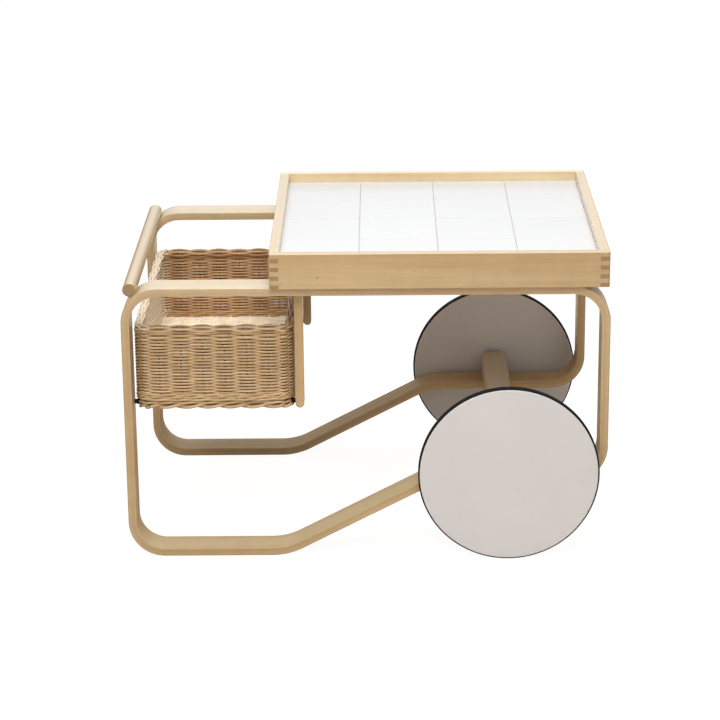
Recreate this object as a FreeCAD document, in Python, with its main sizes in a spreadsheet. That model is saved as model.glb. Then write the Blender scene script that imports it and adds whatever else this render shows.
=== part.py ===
"""Tea trolley: two bent birch frames, a tiled tray, a wicker basket and two disc wheels.

Millimetres. +X points from the handle to the wheels, +Z up, and the near side is -Y.
The origin lies on the floor, under the middle of the trolley.
"""
import FreeCAD
import Part
import Sketcher
import math
import os
import re

# Driving sizes, each written once
SIZES = {
    # side frames: on each side two bent strips, scarfed into one closed loop
    "frame_length": 894,
    "frame_height": 524,
    "frame_track": 600,
    "strip_thick": 16,
    "strip_width": 60,
    "strip_ease": 2,
    "bend_radius": 60,
    "slope_radius": 122,
    "slope_angle": 27.3,
    "foot_length": 297,
    "scarf_length": 64,
    "scarf_nib": 3,
    "scarf_high_inset": 204,
    "scarf_low_inset": 115,
    # handle: a dowel seated on the outside of the two top bends
    "handle_dia": 26,
    "handle_inset": 16,
    "handle_angle": 50,
    "handle_seat": 1.2,
    "handle_ease": 2,
    # tray: four finger-jointed boards around a panel on two battens
    "tray_length": 617,
    "tray_side": 10,
    "tray_inset": 4,
    "board_thick": 17.5,
    "board_height": 66,
    "board_ease": 1.5,
    "corner_round": 4,
    "finger_pairs": 4,
    "panel_thick": 12,
    "panel_play": 0.3,
    "groove_depth": 6,
    "groove_fit": 0.1,
    "batten_width": 40,
    "batten_play": 0.5,
    "batten_short": 12,
    # tiles: a square grid laid in the tray
    "tile_count": 4,
    "tile_drop": 18,
    "tile_thick": 6,
    "tile_gap": 1.2,
    "tile_ease": 0.8,
    "grout_drop": 0.7,
    # posts that hang from the top bars and carry the basket
    "post_thick": 16,
    "post_width": 28,
    "post_length": 225,
    "post_setback": 2,
    # basket: woven walls that swell at each stake, between a rim and a foot border
    "basket_bay": 300,
    "basket_gap": 1,
    "basket_inset": 32,
    "basket_height": 164,
    "basket_wall": 9.4,
    "basket_corner": 20,
    "wall_round": 27,
    "wall_waist": 4.4,
    "end_stakes": 6,
    "side_stakes": 12,
    "rim_width": 18,
    "rim_height": 18,
    "rim_over": 0.8,
    "rim_round": 6,
    "border_width": 18,
    "border_height": 17,
    "border_over": 0.4,
    "border_round": 4,
    "floor_thick": 5,
    "floor_waist": 2.4,
    "floor_sticks": 7,
    "floor_play": 0.3,
    "spacer_dia": 9,
    "spacer_edge": 6,
    "spacer_sink": 7,
    "spacer_cover": 5,
    # axle beam: a cross rail with the axle in a groove under it
    "beam_width": 52,
    "beam_height": 46,
    "beam_inset": 2,
    "beam_round": 15,
    "axle_dia": 16,
    # wheels: solid discs with a rubber strip, carried on flanged bushes
    "wheel_dia": 336,
    "wheel_thick": 18,
    "wheel_gap": 7,
    "wheel_inset": 184,
    "wheel_ease": 1.5,
    "tyre_thick": 4.5,
    "tyre_proud": 3,
    "tyre_lip": 2.5,
    "tyre_crown": 1.2,
    "face_skin": 5.5,
    "bush_wall": 4,
    "flange_dia": 48,
    "flange_thick": 2.6,
    "running_fit": 0.05,
    "washer_dia": 32,
    "washer_play": 0.3,
    "washer_fit": 0.2,
    "ring_proud": 1.2,
    "ring_wide": 1.7,
    "ring_thick": 1.2,
    "ring_play": 0.3,
    "ring_groove": 1.8,
    "ring_opening": 8,
    "axle_tip": 1.5,
    "end_play": 1.5,
    # countersunk screws, large in the wood joints and small in the bush flanges
    "screw_dia": 5,
    "screw_head": 9.5,
    "screw_bite": 22,
    "screw_cover": 8,
    "basket_bite": 12,
    "batten_pitch": 210,
    "beam_pitch": 34,
    "flange_screw_dia": 3,
    "flange_screw_head": 5.6,
    "flange_screw_bite": 8,
    "flange_screw_ring": 36,
    "flange_screws": 3,
}

# Places worked out from the driving sizes
PLACES = {
    "half_length": "frame_length / 2",
    "half_track": "frame_track / 2",
    "leg_inside": "half_length - strip_thick",
    "bar_under": "frame_height - strip_thick",
    "frame_mid": "half_track - strip_width / 2",
    "frame_inside": "half_track - strip_width",
    "axle_high": "wheel_dia / 2",
    "run_top": "axle_high - axle_dia / 2",
    "run_under": "run_top - strip_thick",
    "run_mid": "run_top - strip_thick / 2",
    "foot_corner": "foot_length - half_length",
    "slope_corner": "foot_corner + (run_mid - strip_thick / 2) / tan(slope_angle * 1 deg)",
    "scarf_high_x": "half_length - scarf_high_inset",
    "scarf_low_x": "half_length - scarf_low_inset",
    "bend_outer": "bend_radius + strip_thick / 2",
    "bend_inner": "bend_radius - strip_thick / 2",
    "bend_x": "bend_outer - half_length",
    "bend_z": "frame_height - bend_outer",
    "handle_length": "frame_track - 2 * handle_inset",
    "handle_reach": "bend_outer + handle_dia / 2 - handle_seat",
    "handle_x": "bend_x - handle_reach * cos(handle_angle * 1 deg)",
    "handle_z": "bend_z + handle_reach * sin(handle_angle * 1 deg)",
    "tray_right": "half_length - tray_inset",
    "tray_left": "tray_right - tray_length",
    "tray_depth": "frame_track + 2 * tray_side",
    "tray_top": "frame_height + board_height",
    "finger_high": "board_height / (2 * finger_pairs)",
    "well_left": "tray_left + board_thick",
    "well_length": "tray_length - 2 * board_thick",
    "well_depth": "tray_depth - 2 * board_thick",
    "tile_top": "tray_top - tile_drop",
    "panel_top": "tile_top - tile_thick",
    "panel_base": "panel_top - panel_thick",
    "tile_step_x": "well_length / tile_count",
    "tile_step_y": "well_depth / tile_count",
    "post_left": "basket_bay - leg_inside",
    "post_mid": "frame_inside + post_setback + post_width / 2",
    "post_under": "bar_under - post_length",
    "spacer_high": "post_under + post_thick / 2",
    "basket_base": "spacer_high + spacer_cover - border_height",
    "basket_top": "basket_base + basket_height",
    "basket_depth": "frame_track - 2 * basket_inset",
    "basket_mid": "basket_bay / 2 - leg_inside",
    "rim_length": "basket_bay - 2 * basket_gap",
    "rim_base": "basket_top - rim_height",
    "wall_base": "basket_base + border_height",
    "wall_length": "rim_length - 2 * rim_over",
    "wall_depth": "basket_depth - 2 * rim_over",
    "wall_bend": "wall_round - basket_wall / 2",
    "wall_line_x": "wall_length / 2 - basket_wall / 2",
    "wall_line_y": "wall_depth / 2 - basket_wall / 2",
    "wall_turn_x": "wall_line_x - wall_bend",
    "wall_turn_y": "wall_line_y - wall_bend",
    "end_pitch": "2 * wall_turn_x / end_stakes",
    "side_pitch": "2 * wall_turn_y / side_stakes",
    "floor_length": "wall_length - 2 * (basket_wall + floor_play)",
    "floor_depth": "wall_depth - 2 * (basket_wall + floor_play)",
    "floor_pitch": "floor_length / floor_sticks",
    "border_length": "wall_length + 2 * border_over",
    "border_depth": "wall_depth + 2 * border_over",
    "border_side": "border_length / 2",
    "spacer_length": "basket_bay / 2 - border_side + spacer_sink",
    "spacer_mid": "frame_inside + post_setback + spacer_edge",
    "wheel_x": "half_length - wheel_inset",
    "wheel_inside": "half_track + wheel_gap",
    "wheel_radius": "wheel_dia / 2",
    "disc_radius": "wheel_radius - tyre_proud",
    "tyre_seat": "wheel_radius - tyre_thick",
    "tyre_width": "wheel_thick - 2 * tyre_lip",
    "barrel_dia": "axle_dia + 2 * bush_wall",
    "ring_dia": "axle_dia + 2 * ring_proud",
    "hub_depth": "wheel_thick - face_skin",
    "ring_start": "hub_depth - end_play - axle_tip - ring_thick",
    "barrel_length": "ring_start - ring_play",
    "axle_half": "wheel_inside + hub_depth - end_play",
    "washer_thick": "wheel_gap - flange_thick - washer_play",
}

SIDES = {"near": -1, "far": 1}
ENDS = {"left": -1, "right": 1}
ALONG_X = FreeCAD.Rotation(FreeCAD.Vector(0, 1, 0), 90)
AGAINST_X = FreeCAD.Rotation(FreeCAD.Vector(0, 1, 0), -90)
ALONG_Y = FreeCAD.Rotation(FreeCAD.Vector(1, 0, 0), -90)
AGAINST_Y = FreeCAD.Rotation(FreeCAD.Vector(1, 0, 0), 90)
UPWARD = FreeCAD.Rotation()
DOWNWARD = FreeCAD.Rotation(FreeCAD.Vector(1, 0, 0), 180)
OUTWARD = {"near": AGAINST_Y, "far": ALONG_Y}
SIDEWAYS = {"left": AGAINST_X, "right": ALONG_X}
QUARTERS = [FreeCAD.Rotation(FreeCAD.Vector(0, 0, 1), 90 * quarter) for quarter in range(4)]

doc = FreeCAD.newDocument("TeaTrolley")
sheet = doc.addObject("Spreadsheet::Sheet", "sheet")
nodes = []


def fill_sheet():
    """Write the driving sizes as numbers and the worked-out places as formulas."""
    cells = [(name, str(value)) for name, value in SIZES.items()]
    cells += [(name, "=" + formula) for name, formula in PLACES.items()]
    for row, (name, content) in enumerate(cells, start=1):
        sheet.set(f"A{row}", name)
        sheet.set(f"B{row}", content)
        sheet.setAlias(f"B{row}", name)
    doc.recompute()


def link(text):
    """Turn a formula in the sheet's names into an expression that reads the sheet."""
    def named(match):
        word = match.group()
        return "sheet." + word if word in SIZES or word in PLACES else word
    return re.sub(r"[a-z_]+", named, str(text))


def number(text):
    """The value of a formula in the sheet's names."""
    value = sheet.evalExpression(link(text))
    return float(getattr(value, "Value", value))


def bind(piece, formulas):
    """Bind properties of a piece to formulas in the sheet's names."""
    for prop, text in formulas.items():
        piece.setExpression(prop, link(text))


def place(piece, spot, turn=UPWARD):
    """Turn a piece and put its own origin at a spot."""
    piece.Placement = FreeCAD.Placement(FreeCAD.Vector(), turn)
    bind(piece, {"Placement.Base." + axis: text for axis, text in zip("xyz", spot)})


def node(label, piece):
    """Give a finished piece its name and keep it for writing."""
    piece.Label = label
    nodes.append(piece)
    return piece


def box(name, size, corner):
    """A block from its lowest corner."""
    piece = doc.addObject("Part::Box", name)
    bind(piece, dict(zip(("Length", "Width", "Height"), size)))
    place(piece, corner)
    return piece


def rod(name, radius, length, start, turn=UPWARD):
    """A cylinder from the middle of its first end."""
    piece = doc.addObject("Part::Cylinder", name)
    bind(piece, {"Radius": radius, "Height": length})
    place(piece, start, turn)
    return piece


def group(name, pieces):
    """Several separate solids as one piece."""
    piece = doc.addObject("Part::Compound", name)
    piece.Links = pieces
    return piece


def fuse(name, first, second):
    piece = doc.addObject("Part::Fuse", name)
    piece.Base = first
    piece.Tool = second
    piece.Refine = True
    return piece


def cut(name, base, tools):
    """A piece with one or several others taken out of it."""
    piece = doc.addObject("Part::Cut", name)
    piece.Base = base
    piece.Tool = tools[0] if len(tools) == 1 else group(name + "_tools", tools)
    return piece


def common(name, first, second):
    piece = doc.addObject("Part::Common", name)
    piece.Base = first
    piece.Tool = second
    return piece


def ease(name, base, radius, wanted, kind="Part::Fillet"):
    """Round or chamfer the edges of a piece whose middle point is wanted."""
    doc.recompute()
    size = number(radius)
    edges = base.Shape.Edges
    picked = [index for index, edge in enumerate(edges, start=1) if wanted(edge.CenterOfMass)]
    piece = doc.addObject(kind, name)
    piece.Base = base
    piece.Edges = [(index, size, size) for index in picked]
    return piece


def close(first, second):
    """True where two lengths agree to a thousandth."""
    return abs(first - second) < 1e-3


def sketch_on(body, plane, name, lift="0"):
    """A sketch on one of a body's own planes, lifted along the plane's normal."""
    sketch = body.newObject("Sketcher::SketchObject", name)
    origin = next(part for part in body.Origin.OriginFeatures if part.Role == plane)
    sketch.AttachmentSupport = [(origin, "")]
    sketch.MapMode = "FlatFace"
    sketch.setExpression("AttachmentOffset.Base.z", link(lift))
    return sketch


def pin(sketch, geometry, spot):
    """Hold the first point of a sketch element at a spot given by two formulas."""
    for axis, kind, text in ((-2, "DistanceX", spot[0]), (-1, "DistanceY", spot[1])):
        value = number(text)
        if close(value, 0):
            sketch.addConstraint(Sketcher.Constraint("PointOnObject", geometry, 1, axis))
        else:
            held = sketch.addConstraint(Sketcher.Constraint(kind, -1, 1, geometry, 1, value))
            sketch.setExpression(f"Constraints[{held}]", link(text))


def outline(sketch, corners):
    """A closed outline of straight lines through corners given by formulas."""
    points = [FreeCAD.Vector(number(x), number(y), 0) for x, y in corners]
    for index, point in enumerate(points):
        sketch.addGeometry(Part.LineSegment(point, points[(index + 1) % len(points)]), False)
    for index in range(len(points)):
        following = (index + 1) % len(points)
        sketch.addConstraint(Sketcher.Constraint("Coincident", index, 2, following, 1))
    for index, corner in enumerate(corners):
        pin(sketch, index, corner)


def rounded_loop(sketch, corners, radii):
    """A closed outline of straight runs with a tangent arc at each corner.

    The first run starts after the arc at the first corner.
    """
    count = len(corners)
    points = [FreeCAD.Vector(number(x), number(y), 0) for x, y in corners]
    sizes = [number(radius) for radius in radii]
    runs = [(points[(i + 1) % count] - points[i]).normalize() for i in range(count)]
    turns = [runs[i - 1].cross(runs[i]).z for i in range(count)]
    bends = [runs[i - 1].getAngle(runs[i]) for i in range(count)]
    backs = [sizes[i] * math.tan(bends[i] / 2) for i in range(count)]
    starts = [points[i] + runs[i] * backs[i] for i in range(count)]
    stops = [points[i] - runs[i - 1] * backs[i] for i in range(count)]
    lines = []
    arcs = []
    for i in range(count):
        after = (i + 1) % count
        lines.append(sketch.addGeometry(Part.LineSegment(starts[i], stops[after]), False))
        left = 1 if turns[after] > 0 else -1
        normal = FreeCAD.Vector(-runs[i].y, runs[i].x, 0) * left
        centre = stops[after] + normal * sizes[after]
        first, last = (stops[after], starts[after]) if left > 0 else (starts[after], stops[after])
        begin = math.atan2(first.y - centre.y, first.x - centre.x)
        end = math.atan2(last.y - centre.y, last.x - centre.x)
        circle = Part.Circle(centre, FreeCAD.Vector(0, 0, 1), sizes[after])
        arcs.append(sketch.addGeometry(Part.ArcOfCircle(circle, begin, end), False))
    marks = [sketch.addGeometry(Part.Point(point), True) for point in points]
    for i in range(count):
        after = (i + 1) % count
        entry, leave = (1, 2) if turns[after] > 0 else (2, 1)
        sketch.addConstraint(Sketcher.Constraint("Tangent", lines[i], 2, arcs[i], entry))
        sketch.addConstraint(Sketcher.Constraint("Tangent", arcs[i], leave, lines[after], 1))
        held = sketch.addConstraint(Sketcher.Constraint("Radius", arcs[i], sizes[after]))
        sketch.setExpression(f"Constraints[{held}]", link(radii[after]))
        sketch.addConstraint(Sketcher.Constraint("PointOnObject", marks[i], 1, lines[i - 1]))
        sketch.addConstraint(Sketcher.Constraint("PointOnObject", marks[i], 1, lines[i]))
        pin(sketch, marks[i], corners[i])


def bowed_loop(sketch, corners, crests):
    """A closed outline from corner to corner, each stretch straight or bowed through its crest."""
    points = [FreeCAD.Vector(number(x), number(y), 0) for x, y in corners]
    marks = [sketch.addGeometry(Part.Point(point), True) for point in points]
    for i, crest in enumerate(crests):
        after = (i + 1) % len(points)
        first, last = (i, after)
        if crest is None:
            stretch = sketch.addGeometry(Part.LineSegment(points[first], points[last]), False)
        else:
            top = FreeCAD.Vector(number(crest[0]), number(crest[1]), 0)
            if (points[after] - points[i]).cross(top - points[i]).z > 0:
                first, last = (after, i)
            bow = Part.Arc(points[first], top, points[last])
            stretch = sketch.addGeometry(bow, False)
            peak = sketch.addGeometry(Part.Point(top), True)
            sketch.addConstraint(Sketcher.Constraint("PointOnObject", peak, 1, stretch))
            pin(sketch, peak, crest)
        sketch.addConstraint(Sketcher.Constraint("Coincident", stretch, 1, marks[first], 1))
        sketch.addConstraint(Sketcher.Constraint("Coincident", stretch, 2, marks[last], 1))
    for mark, corner in zip(marks, corners):
        pin(sketch, mark, corner)


def rectangle(width, depth, middle=("0", "0")):
    """The corners of a rectangle about a middle point, anticlockwise from the left top."""
    half = (f"({width}) / 2", f"({depth}) / 2")
    signs = ((-1, 1), (-1, -1), (1, -1), (1, 1))
    return [tuple(f"{m} + {s} * {h}" for m, s, h in zip(middle, pair, half)) for pair in signs]


def swept_loop(name, path_plane, corners, radii, section_plane, section_lift, section, section_round):
    """A closed bar of one section that runs along straight runs and bends."""
    body = doc.addObject("PartDesign::Body", name)
    path = sketch_on(body, path_plane, name + "_path")
    rounded_loop(path, corners, radii)
    profile = sketch_on(body, section_plane, name + "_section", section_lift)
    rounded_loop(profile, section, [section_round] * len(section))
    pipe = body.newObject("PartDesign::AdditivePipe", name + "_sweep")
    pipe.Profile = profile
    pipe.Spine = (path, [""])
    return body


def turned(name, profile, spot, turn):
    """A body turned about its own Z axis, from a profile of (radius, height) formulas."""
    body = doc.addObject("PartDesign::Body", name)
    sketch = sketch_on(body, "XZ_Plane", name + "_profile")
    outline(sketch, profile)
    spin = body.newObject("PartDesign::Revolution", name + "_spin")
    spin.Profile = sketch
    spin.ReferenceAxis = (sketch, ["V_Axis"])
    spin.Angle = 360
    place(body, spot, turn)
    return body


def screw(name, spot, turn, length, kind="screw"):
    """A countersunk screw from the middle of its head, along the turned Z axis."""
    head = doc.addObject("Part::Cone", name + "_head")
    sink = f"({kind}_head - {kind}_dia) / 2"
    bind(head, {"Radius1": f"{kind}_head / 2", "Radius2": f"{kind}_dia / 2", "Height": sink})
    place(head, spot, turn)
    shank = rod(name + "_shank", f"{kind}_dia / 2", length, spot, turn)
    return fuse(name, head, shank)


def make_screws():
    """Every set of screws, by name. They also cut their own holes."""
    through = "strip_thick + screw_bite"
    batten_reach = "strip_thick + panel_base - frame_height - screw_cover"
    lean = FreeCAD.Rotation(FreeCAD.Vector(0, 1, 0), number("handle_angle") - 90)
    seat_x = "bend_x - bend_inner * cos(handle_angle * 1 deg)"
    seat_z = "bend_z + bend_inner * sin(handle_angle * 1 deg)"
    sets = {name: [] for name in ("handle", "batten", "post", "beam", "basket")}
    for side, sign in SIDES.items():
        mid = f"{sign} * frame_mid"
        hang = f"{sign} * post_mid"
        sets["handle"].append(
            screw(f"handle_screw_{side}", (seat_x, mid, seat_z), lean, "strip_thick + handle_dia / 2"))
        for step in (-1, 0, 1):
            spot = (f"well_left + well_length / 2 + {step} * batten_pitch", mid, "bar_under")
            sets["batten"].append(screw(f"batten_screw_{side}_{step + 2}", spot, UPWARD, batten_reach))
        spot = ("post_left + post_thick / 2", hang, "frame_height")
        sets["post"].append(screw(f"post_screw_{side}", spot, DOWNWARD, through))
        for end, way in ENDS.items():
            spot = (f"wheel_x + {way} * beam_pitch / 2", mid, "run_under")
            sets["beam"].append(screw(f"beam_screw_{side}_{end}", spot, UPWARD, through))
        inside = "(border_side - border_width)"
        reach = f"basket_bay / 2 - {inside} + basket_bite"
        for end, way in ENDS.items():
            spot = (f"basket_mid + {way} * {inside}", f"{sign} * spacer_mid", "spacer_high")
            sets["basket"].append(screw(f"basket_screw_{side}_{end}", spot, SIDEWAYS[end], reach))
    return {name: node(f"{name}_screws", group(f"{name}_screw_set", screws))
            for name, screws in sets.items()}


def wheel_end(side):
    """A block over the wheel end of a frame, whose edge follows both scarf joints."""
    half = "scarf_length / 2"
    above = "frame_height + strip_thick"
    below = "run_under - strip_thick"
    beyond = "half_length + strip_thick"
    corners = [(f"scarf_high_x - {half}", above),
               (f"scarf_high_x - {half}", "frame_height - scarf_nib"),
               (f"scarf_high_x + {half}", "bar_under + scarf_nib"),
               (f"scarf_high_x + {half}", "(bar_under + run_top) / 2"),
               (f"scarf_low_x + {half}", "(bar_under + run_top) / 2"),
               (f"scarf_low_x + {half}", "run_top - scarf_nib"),
               (f"scarf_low_x - {half}", "run_under + scarf_nib"),
               (f"scarf_low_x - {half}", below),
               (beyond, below),
               (beyond, above)]
    body = doc.addObject("PartDesign::Body", f"wheel_end_{side}")
    sketch = sketch_on(body, "XZ_Plane", f"scarf_outline_{side}")
    outline(sketch, corners)
    pad = body.newObject("PartDesign::Pad", f"scarf_pad_{side}")
    pad.Profile = sketch
    pad.Midplane = True
    bind(pad, {"Length": "strip_width + strip_thick"})
    place(body, ("0", f"{SIDES[side]} * frame_mid", "0"))
    return body


def make_frame(side, screws):
    """One side frame: a strip bent into a closed loop from two scarfed halves, drilled for its screws."""
    left = "strip_thick / 2 - half_length"
    right = "half_length - strip_thick / 2"
    low = "strip_thick / 2"
    high = "frame_height - strip_thick / 2"
    corners = [(left, high), (left, low), ("foot_corner", low),
               ("slope_corner", "run_mid"), (right, "run_mid"), (right, high)]
    radii = ["bend_radius", "bend_radius", "slope_radius", "slope_radius", "bend_radius", "bend_radius"]
    corners = corners[-1:] + corners[:-1]
    radii = radii[-1:] + radii[:-1]
    section = rectangle("strip_width", "strip_thick", ("0", high))
    strip = swept_loop(f"strip_{side}", "XZ_Plane", corners, radii, "YZ_Plane",
                       "half_length - bend_outer", section, "strip_ease")
    place(strip, ("0", f"{SIDES[side]} * frame_mid", "0"))
    loop = cut(f"drilled_frame_{side}", strip, list(screws.values()))
    end = wheel_end(side)
    node(f"side_frame_{side}", cut(f"handle_bend_{side}", loop, [end]))
    node(f"wheel_bend_{side}", common(f"bend_{side}", loop, end))


def make_handle(screws):
    """The dowel, coped where it sits on the two bends."""
    dowel = rod("dowel", "handle_dia / 2", "handle_length",
                ("handle_x", "-handle_length / 2", "handle_z"), ALONG_Y)
    half = number("handle_length / 2")
    dowel = ease("dowel_eased", dowel, "handle_ease", lambda p: close(abs(p.y), half))
    seats = [rod(f"handle_seat_{side}", "bend_outer", "strip_width",
                 ("bend_x", f"{sign} * frame_mid - strip_width / 2", "bend_z"), ALONG_Y)
             for side, sign in SIDES.items()]
    node("handle_bar", cut("coped_dowel", dowel, seats + [screws["handle"]]))


def tray_envelope():
    """The tray's outer block, with round corners and eased top and bottom edges."""
    block = box("tray_block", ("tray_length", "tray_depth", "board_height"),
                ("tray_left", "-tray_depth / 2", "frame_height"))
    half_way = number("frame_height + board_height / 2")
    block = ease("tray_corners", block, "corner_round", lambda p: close(p.z, half_way))
    ends = (number("frame_height"), number("tray_top"))
    return ease("tray_eased", block, "board_ease", lambda p: any(close(p.z, end) for end in ends))


def corner_fingers(name, end, side, own_first):
    """The fingers of the other board at one tray corner, as blocks to take out."""
    x = "tray_left" if end == "left" else "tray_right - board_thick"
    y = "-tray_depth / 2" if side == "near" else "tray_depth / 2 - board_thick"
    size = ("board_thick", "board_thick", "finger_high")
    first = 1 if own_first else 0
    count = round(number("finger_pairs"))
    levels = [f"frame_height + {2 * pair + first} * finger_high" for pair in range(count)]
    return [box(f"{name}_{end}_{side}_{pair}", size, (x, y, level)) for pair, level in enumerate(levels)]


def make_tray(screws):
    """Four finger-jointed boards, the panel in their groove and two battens under it."""
    envelope = tray_envelope()
    slot_size = ("well_length + 2 * groove_depth", "well_depth + 2 * groove_depth",
                 "panel_thick + 2 * groove_fit")
    slot_corner = ("well_left - groove_depth", "-well_depth / 2 - groove_depth", "panel_base - groove_fit")
    slot = box("panel_slot", slot_size, slot_corner)
    for side, name in (("near", "tray_front_board"), ("far", "tray_rear_board")):
        y = "-tray_depth / 2" if side == "near" else "tray_depth / 2 - board_thick"
        blank = box(name + "_blank", ("tray_length", "board_thick", "board_height"),
                    ("tray_left", y, "frame_height"))
        fingers = [finger for end in ENDS for finger in corner_fingers(name, end, side, False)]
        shaped = common(name + "_shaped", envelope, blank)
        node(name, cut(name + "_jointed", shaped, fingers + [slot]))
    for end, name in (("left", "tray_left_board"), ("right", "tray_right_board")):
        x = "tray_left" if end == "left" else "tray_right - board_thick"
        blank = box(name + "_blank", ("board_thick", "tray_depth", "board_height"),
                    (x, "-tray_depth / 2", "frame_height"))
        fingers = [finger for side in SIDES for finger in corner_fingers(name, end, side, True)]
        shaped = common(name + "_shaped", envelope, blank)
        node(name, cut(name + "_jointed", shaped, fingers + [slot]))
    overlap = "(groove_depth - panel_play)"
    panel_size = (f"well_length + 2 * {overlap}", f"well_depth + 2 * {overlap}", "panel_thick")
    panel_corner = (f"well_left - {overlap}", f"-well_depth / 2 - {overlap}", "panel_base")
    node("tray_panel", box("panel", panel_size, panel_corner))
    for side, sign in SIDES.items():
        outer = "well_depth / 2 - batten_play"
        y = f"-({outer})" if sign < 0 else f"{outer} - batten_width"
        blank = box(f"batten_blank_{side}",
                    ("well_length - 2 * batten_short", "batten_width", "panel_base - frame_height"),
                    ("well_left + batten_short", y, "frame_height"))
        node(f"tray_batten_{side}", cut(f"batten_{side}", blank, [screws["batten"]]))


def make_tiles():
    """A square grid of glazed tiles, and the grout between them."""
    count = round(number("tile_count"))
    blanks = []
    top = number("tile_top")
    for row in range(count):
        for column in range(count):
            name = f"tile_{row + 1}_{column + 1}"
            corner = (f"well_left + {column} * tile_step_x + tile_gap / 2",
                      f"{row} * tile_step_y + tile_gap / 2 - well_depth / 2", "panel_top")
            size = ("tile_step_x - tile_gap", "tile_step_y - tile_gap", "tile_thick")
            blank = box(name + "_blank", size, corner)
            blanks.append(blank)
            eased = ease(name + "_eased", blank, "tile_ease", lambda p: close(p.z, top), "Part::Chamfer")
            node(name, eased)
    bed = box("grout_bed", ("well_length", "well_depth", "tile_thick - tile_ease - grout_drop"),
              ("well_left", "-well_depth / 2", "panel_top"))
    node("tile_grout", cut("grout_lines", bed, blanks))


def make_post(side, screws):
    """A hanging post with a fully rounded lower end."""
    y = f"{SIDES[side]} * post_mid - post_width / 2"
    shaft = box(f"post_shaft_{side}", ("post_thick", "post_width", "post_length - post_thick / 2"),
                ("post_left", y, "post_under + post_thick / 2"))
    tip = rod(f"post_tip_{side}", "post_thick / 2", "post_width",
              ("post_left + post_thick / 2", y, "post_under + post_thick / 2"), ALONG_Y)
    post = fuse(f"post_blank_{side}", shaft, tip)
    node(f"basket_post_{side}", cut(f"post_{side}", post, [screws["post"], screws["basket"]]))


def ring_bar(name, kind, length, depth, base):
    """A level bar round the basket, given by its outer length, its depth and its underside."""
    width = f"{kind}_width"
    height = f"{kind}_height"
    path = rectangle(f"{length} - {width}", f"{depth} - {width}")
    section = rectangle(width, height, (f"{width} / 2 - {length} / 2", f"{base} + {height} / 2"))
    bend = f"basket_corner + {kind}_over - {width} / 2"
    bar = swept_loop(name, "XY_Plane", path, [bend] * 4, "XZ_Plane",
                     f"basket_corner + {kind}_over - {depth} / 2", section, f"{kind}_round")
    place(bar, ("basket_mid", "0", "0"))
    return bar


def reeds(name, plane, lift, count, pitch, thick, waist, length):
    """A slab of bowed strips side by side along its own X axis, thick in the middle and thin at the joins."""
    body = doc.addObject("PartDesign::Body", name)
    sketch = sketch_on(body, plane, name + "_section", lift)
    left = f"-{count} * {pitch} / 2"
    right = f"{left} + {pitch}"
    middle = f"{left} + {pitch} / 2"
    join = f"{waist} / 2"
    crest = f"{thick} / 2"
    corners = [(left, f"-{join}"), (right, f"-{join}"), (right, join), (left, join)]
    bowed_loop(sketch, corners, [(middle, f"-{crest}"), None, (middle, crest), None])
    strip = body.newObject("PartDesign::Pad", name + "_strip")
    strip.Profile = sketch
    bind(strip, {"Length": length})
    row = body.newObject("PartDesign::LinearPattern", name + "_row")
    row.Originals = [strip]
    row.Direction = (sketch, ["H_Axis"])
    row.Occurrences = round(number(count))
    bind(row, {"Length": f"({count} - 1) * {pitch}"})
    body.Tip = row
    return body


def wall_corner(name, spot, turn):
    """The quarter round between two walls, thick at the stake in its middle."""
    body = doc.addObject("PartDesign::Body", name)
    sketch = sketch_on(body, "XY_Plane", name + "_plan", "wall_base")
    inside = "wall_bend - wall_waist / 2"
    outside = "wall_bend + wall_waist / 2"
    inner = "(wall_bend - basket_wall / 2) / sqrt(2)"
    outer = "(wall_bend + basket_wall / 2) / sqrt(2)"
    corners = [(inside, "0"), (outside, "0"), ("0", outside), ("0", inside)]
    bowed_loop(sketch, corners, [None, (outer, outer), None, (inner, inner)])
    pad = body.newObject("PartDesign::Pad", name + "_pad")
    pad.Profile = sketch
    bind(pad, {"Length": "rim_base - wall_base"})
    place(body, spot, turn)
    return body


def basket_shell():
    """The basket's four walls, open above and below, with a reed up each stake."""
    height = "rim_base - wall_base"
    pieces = []
    for side, sign in SIDES.items():
        wall = reeds(f"wall_{side}", "XY_Plane", "wall_base", "end_stakes", "end_pitch",
                     "basket_wall", "wall_waist", height)
        place(wall, ("basket_mid", f"{sign} * wall_line_y", "0"))
        pieces.append(wall)
    for end, way in ENDS.items():
        wall = reeds(f"wall_{end}", "XY_Plane", "wall_base", "side_stakes", "side_pitch",
                     "basket_wall", "wall_waist", height)
        place(wall, (f"basket_mid + {way} * wall_line_x", "0", "0"), QUARTERS[1])
        pieces.append(wall)
    for quarter, (way, sign) in enumerate(((1, 1), (-1, 1), (-1, -1), (1, -1))):
        spot = (f"basket_mid + {way} * wall_turn_x", f"{sign} * wall_turn_y", "0")
        pieces.append(wall_corner(f"wall_corner_{quarter + 1}", spot, QUARTERS[quarter]))
    shell = doc.addObject("Part::MultiFuse", "basket_shell")
    shell.Shapes = pieces
    shell.Refine = True
    return shell


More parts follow.
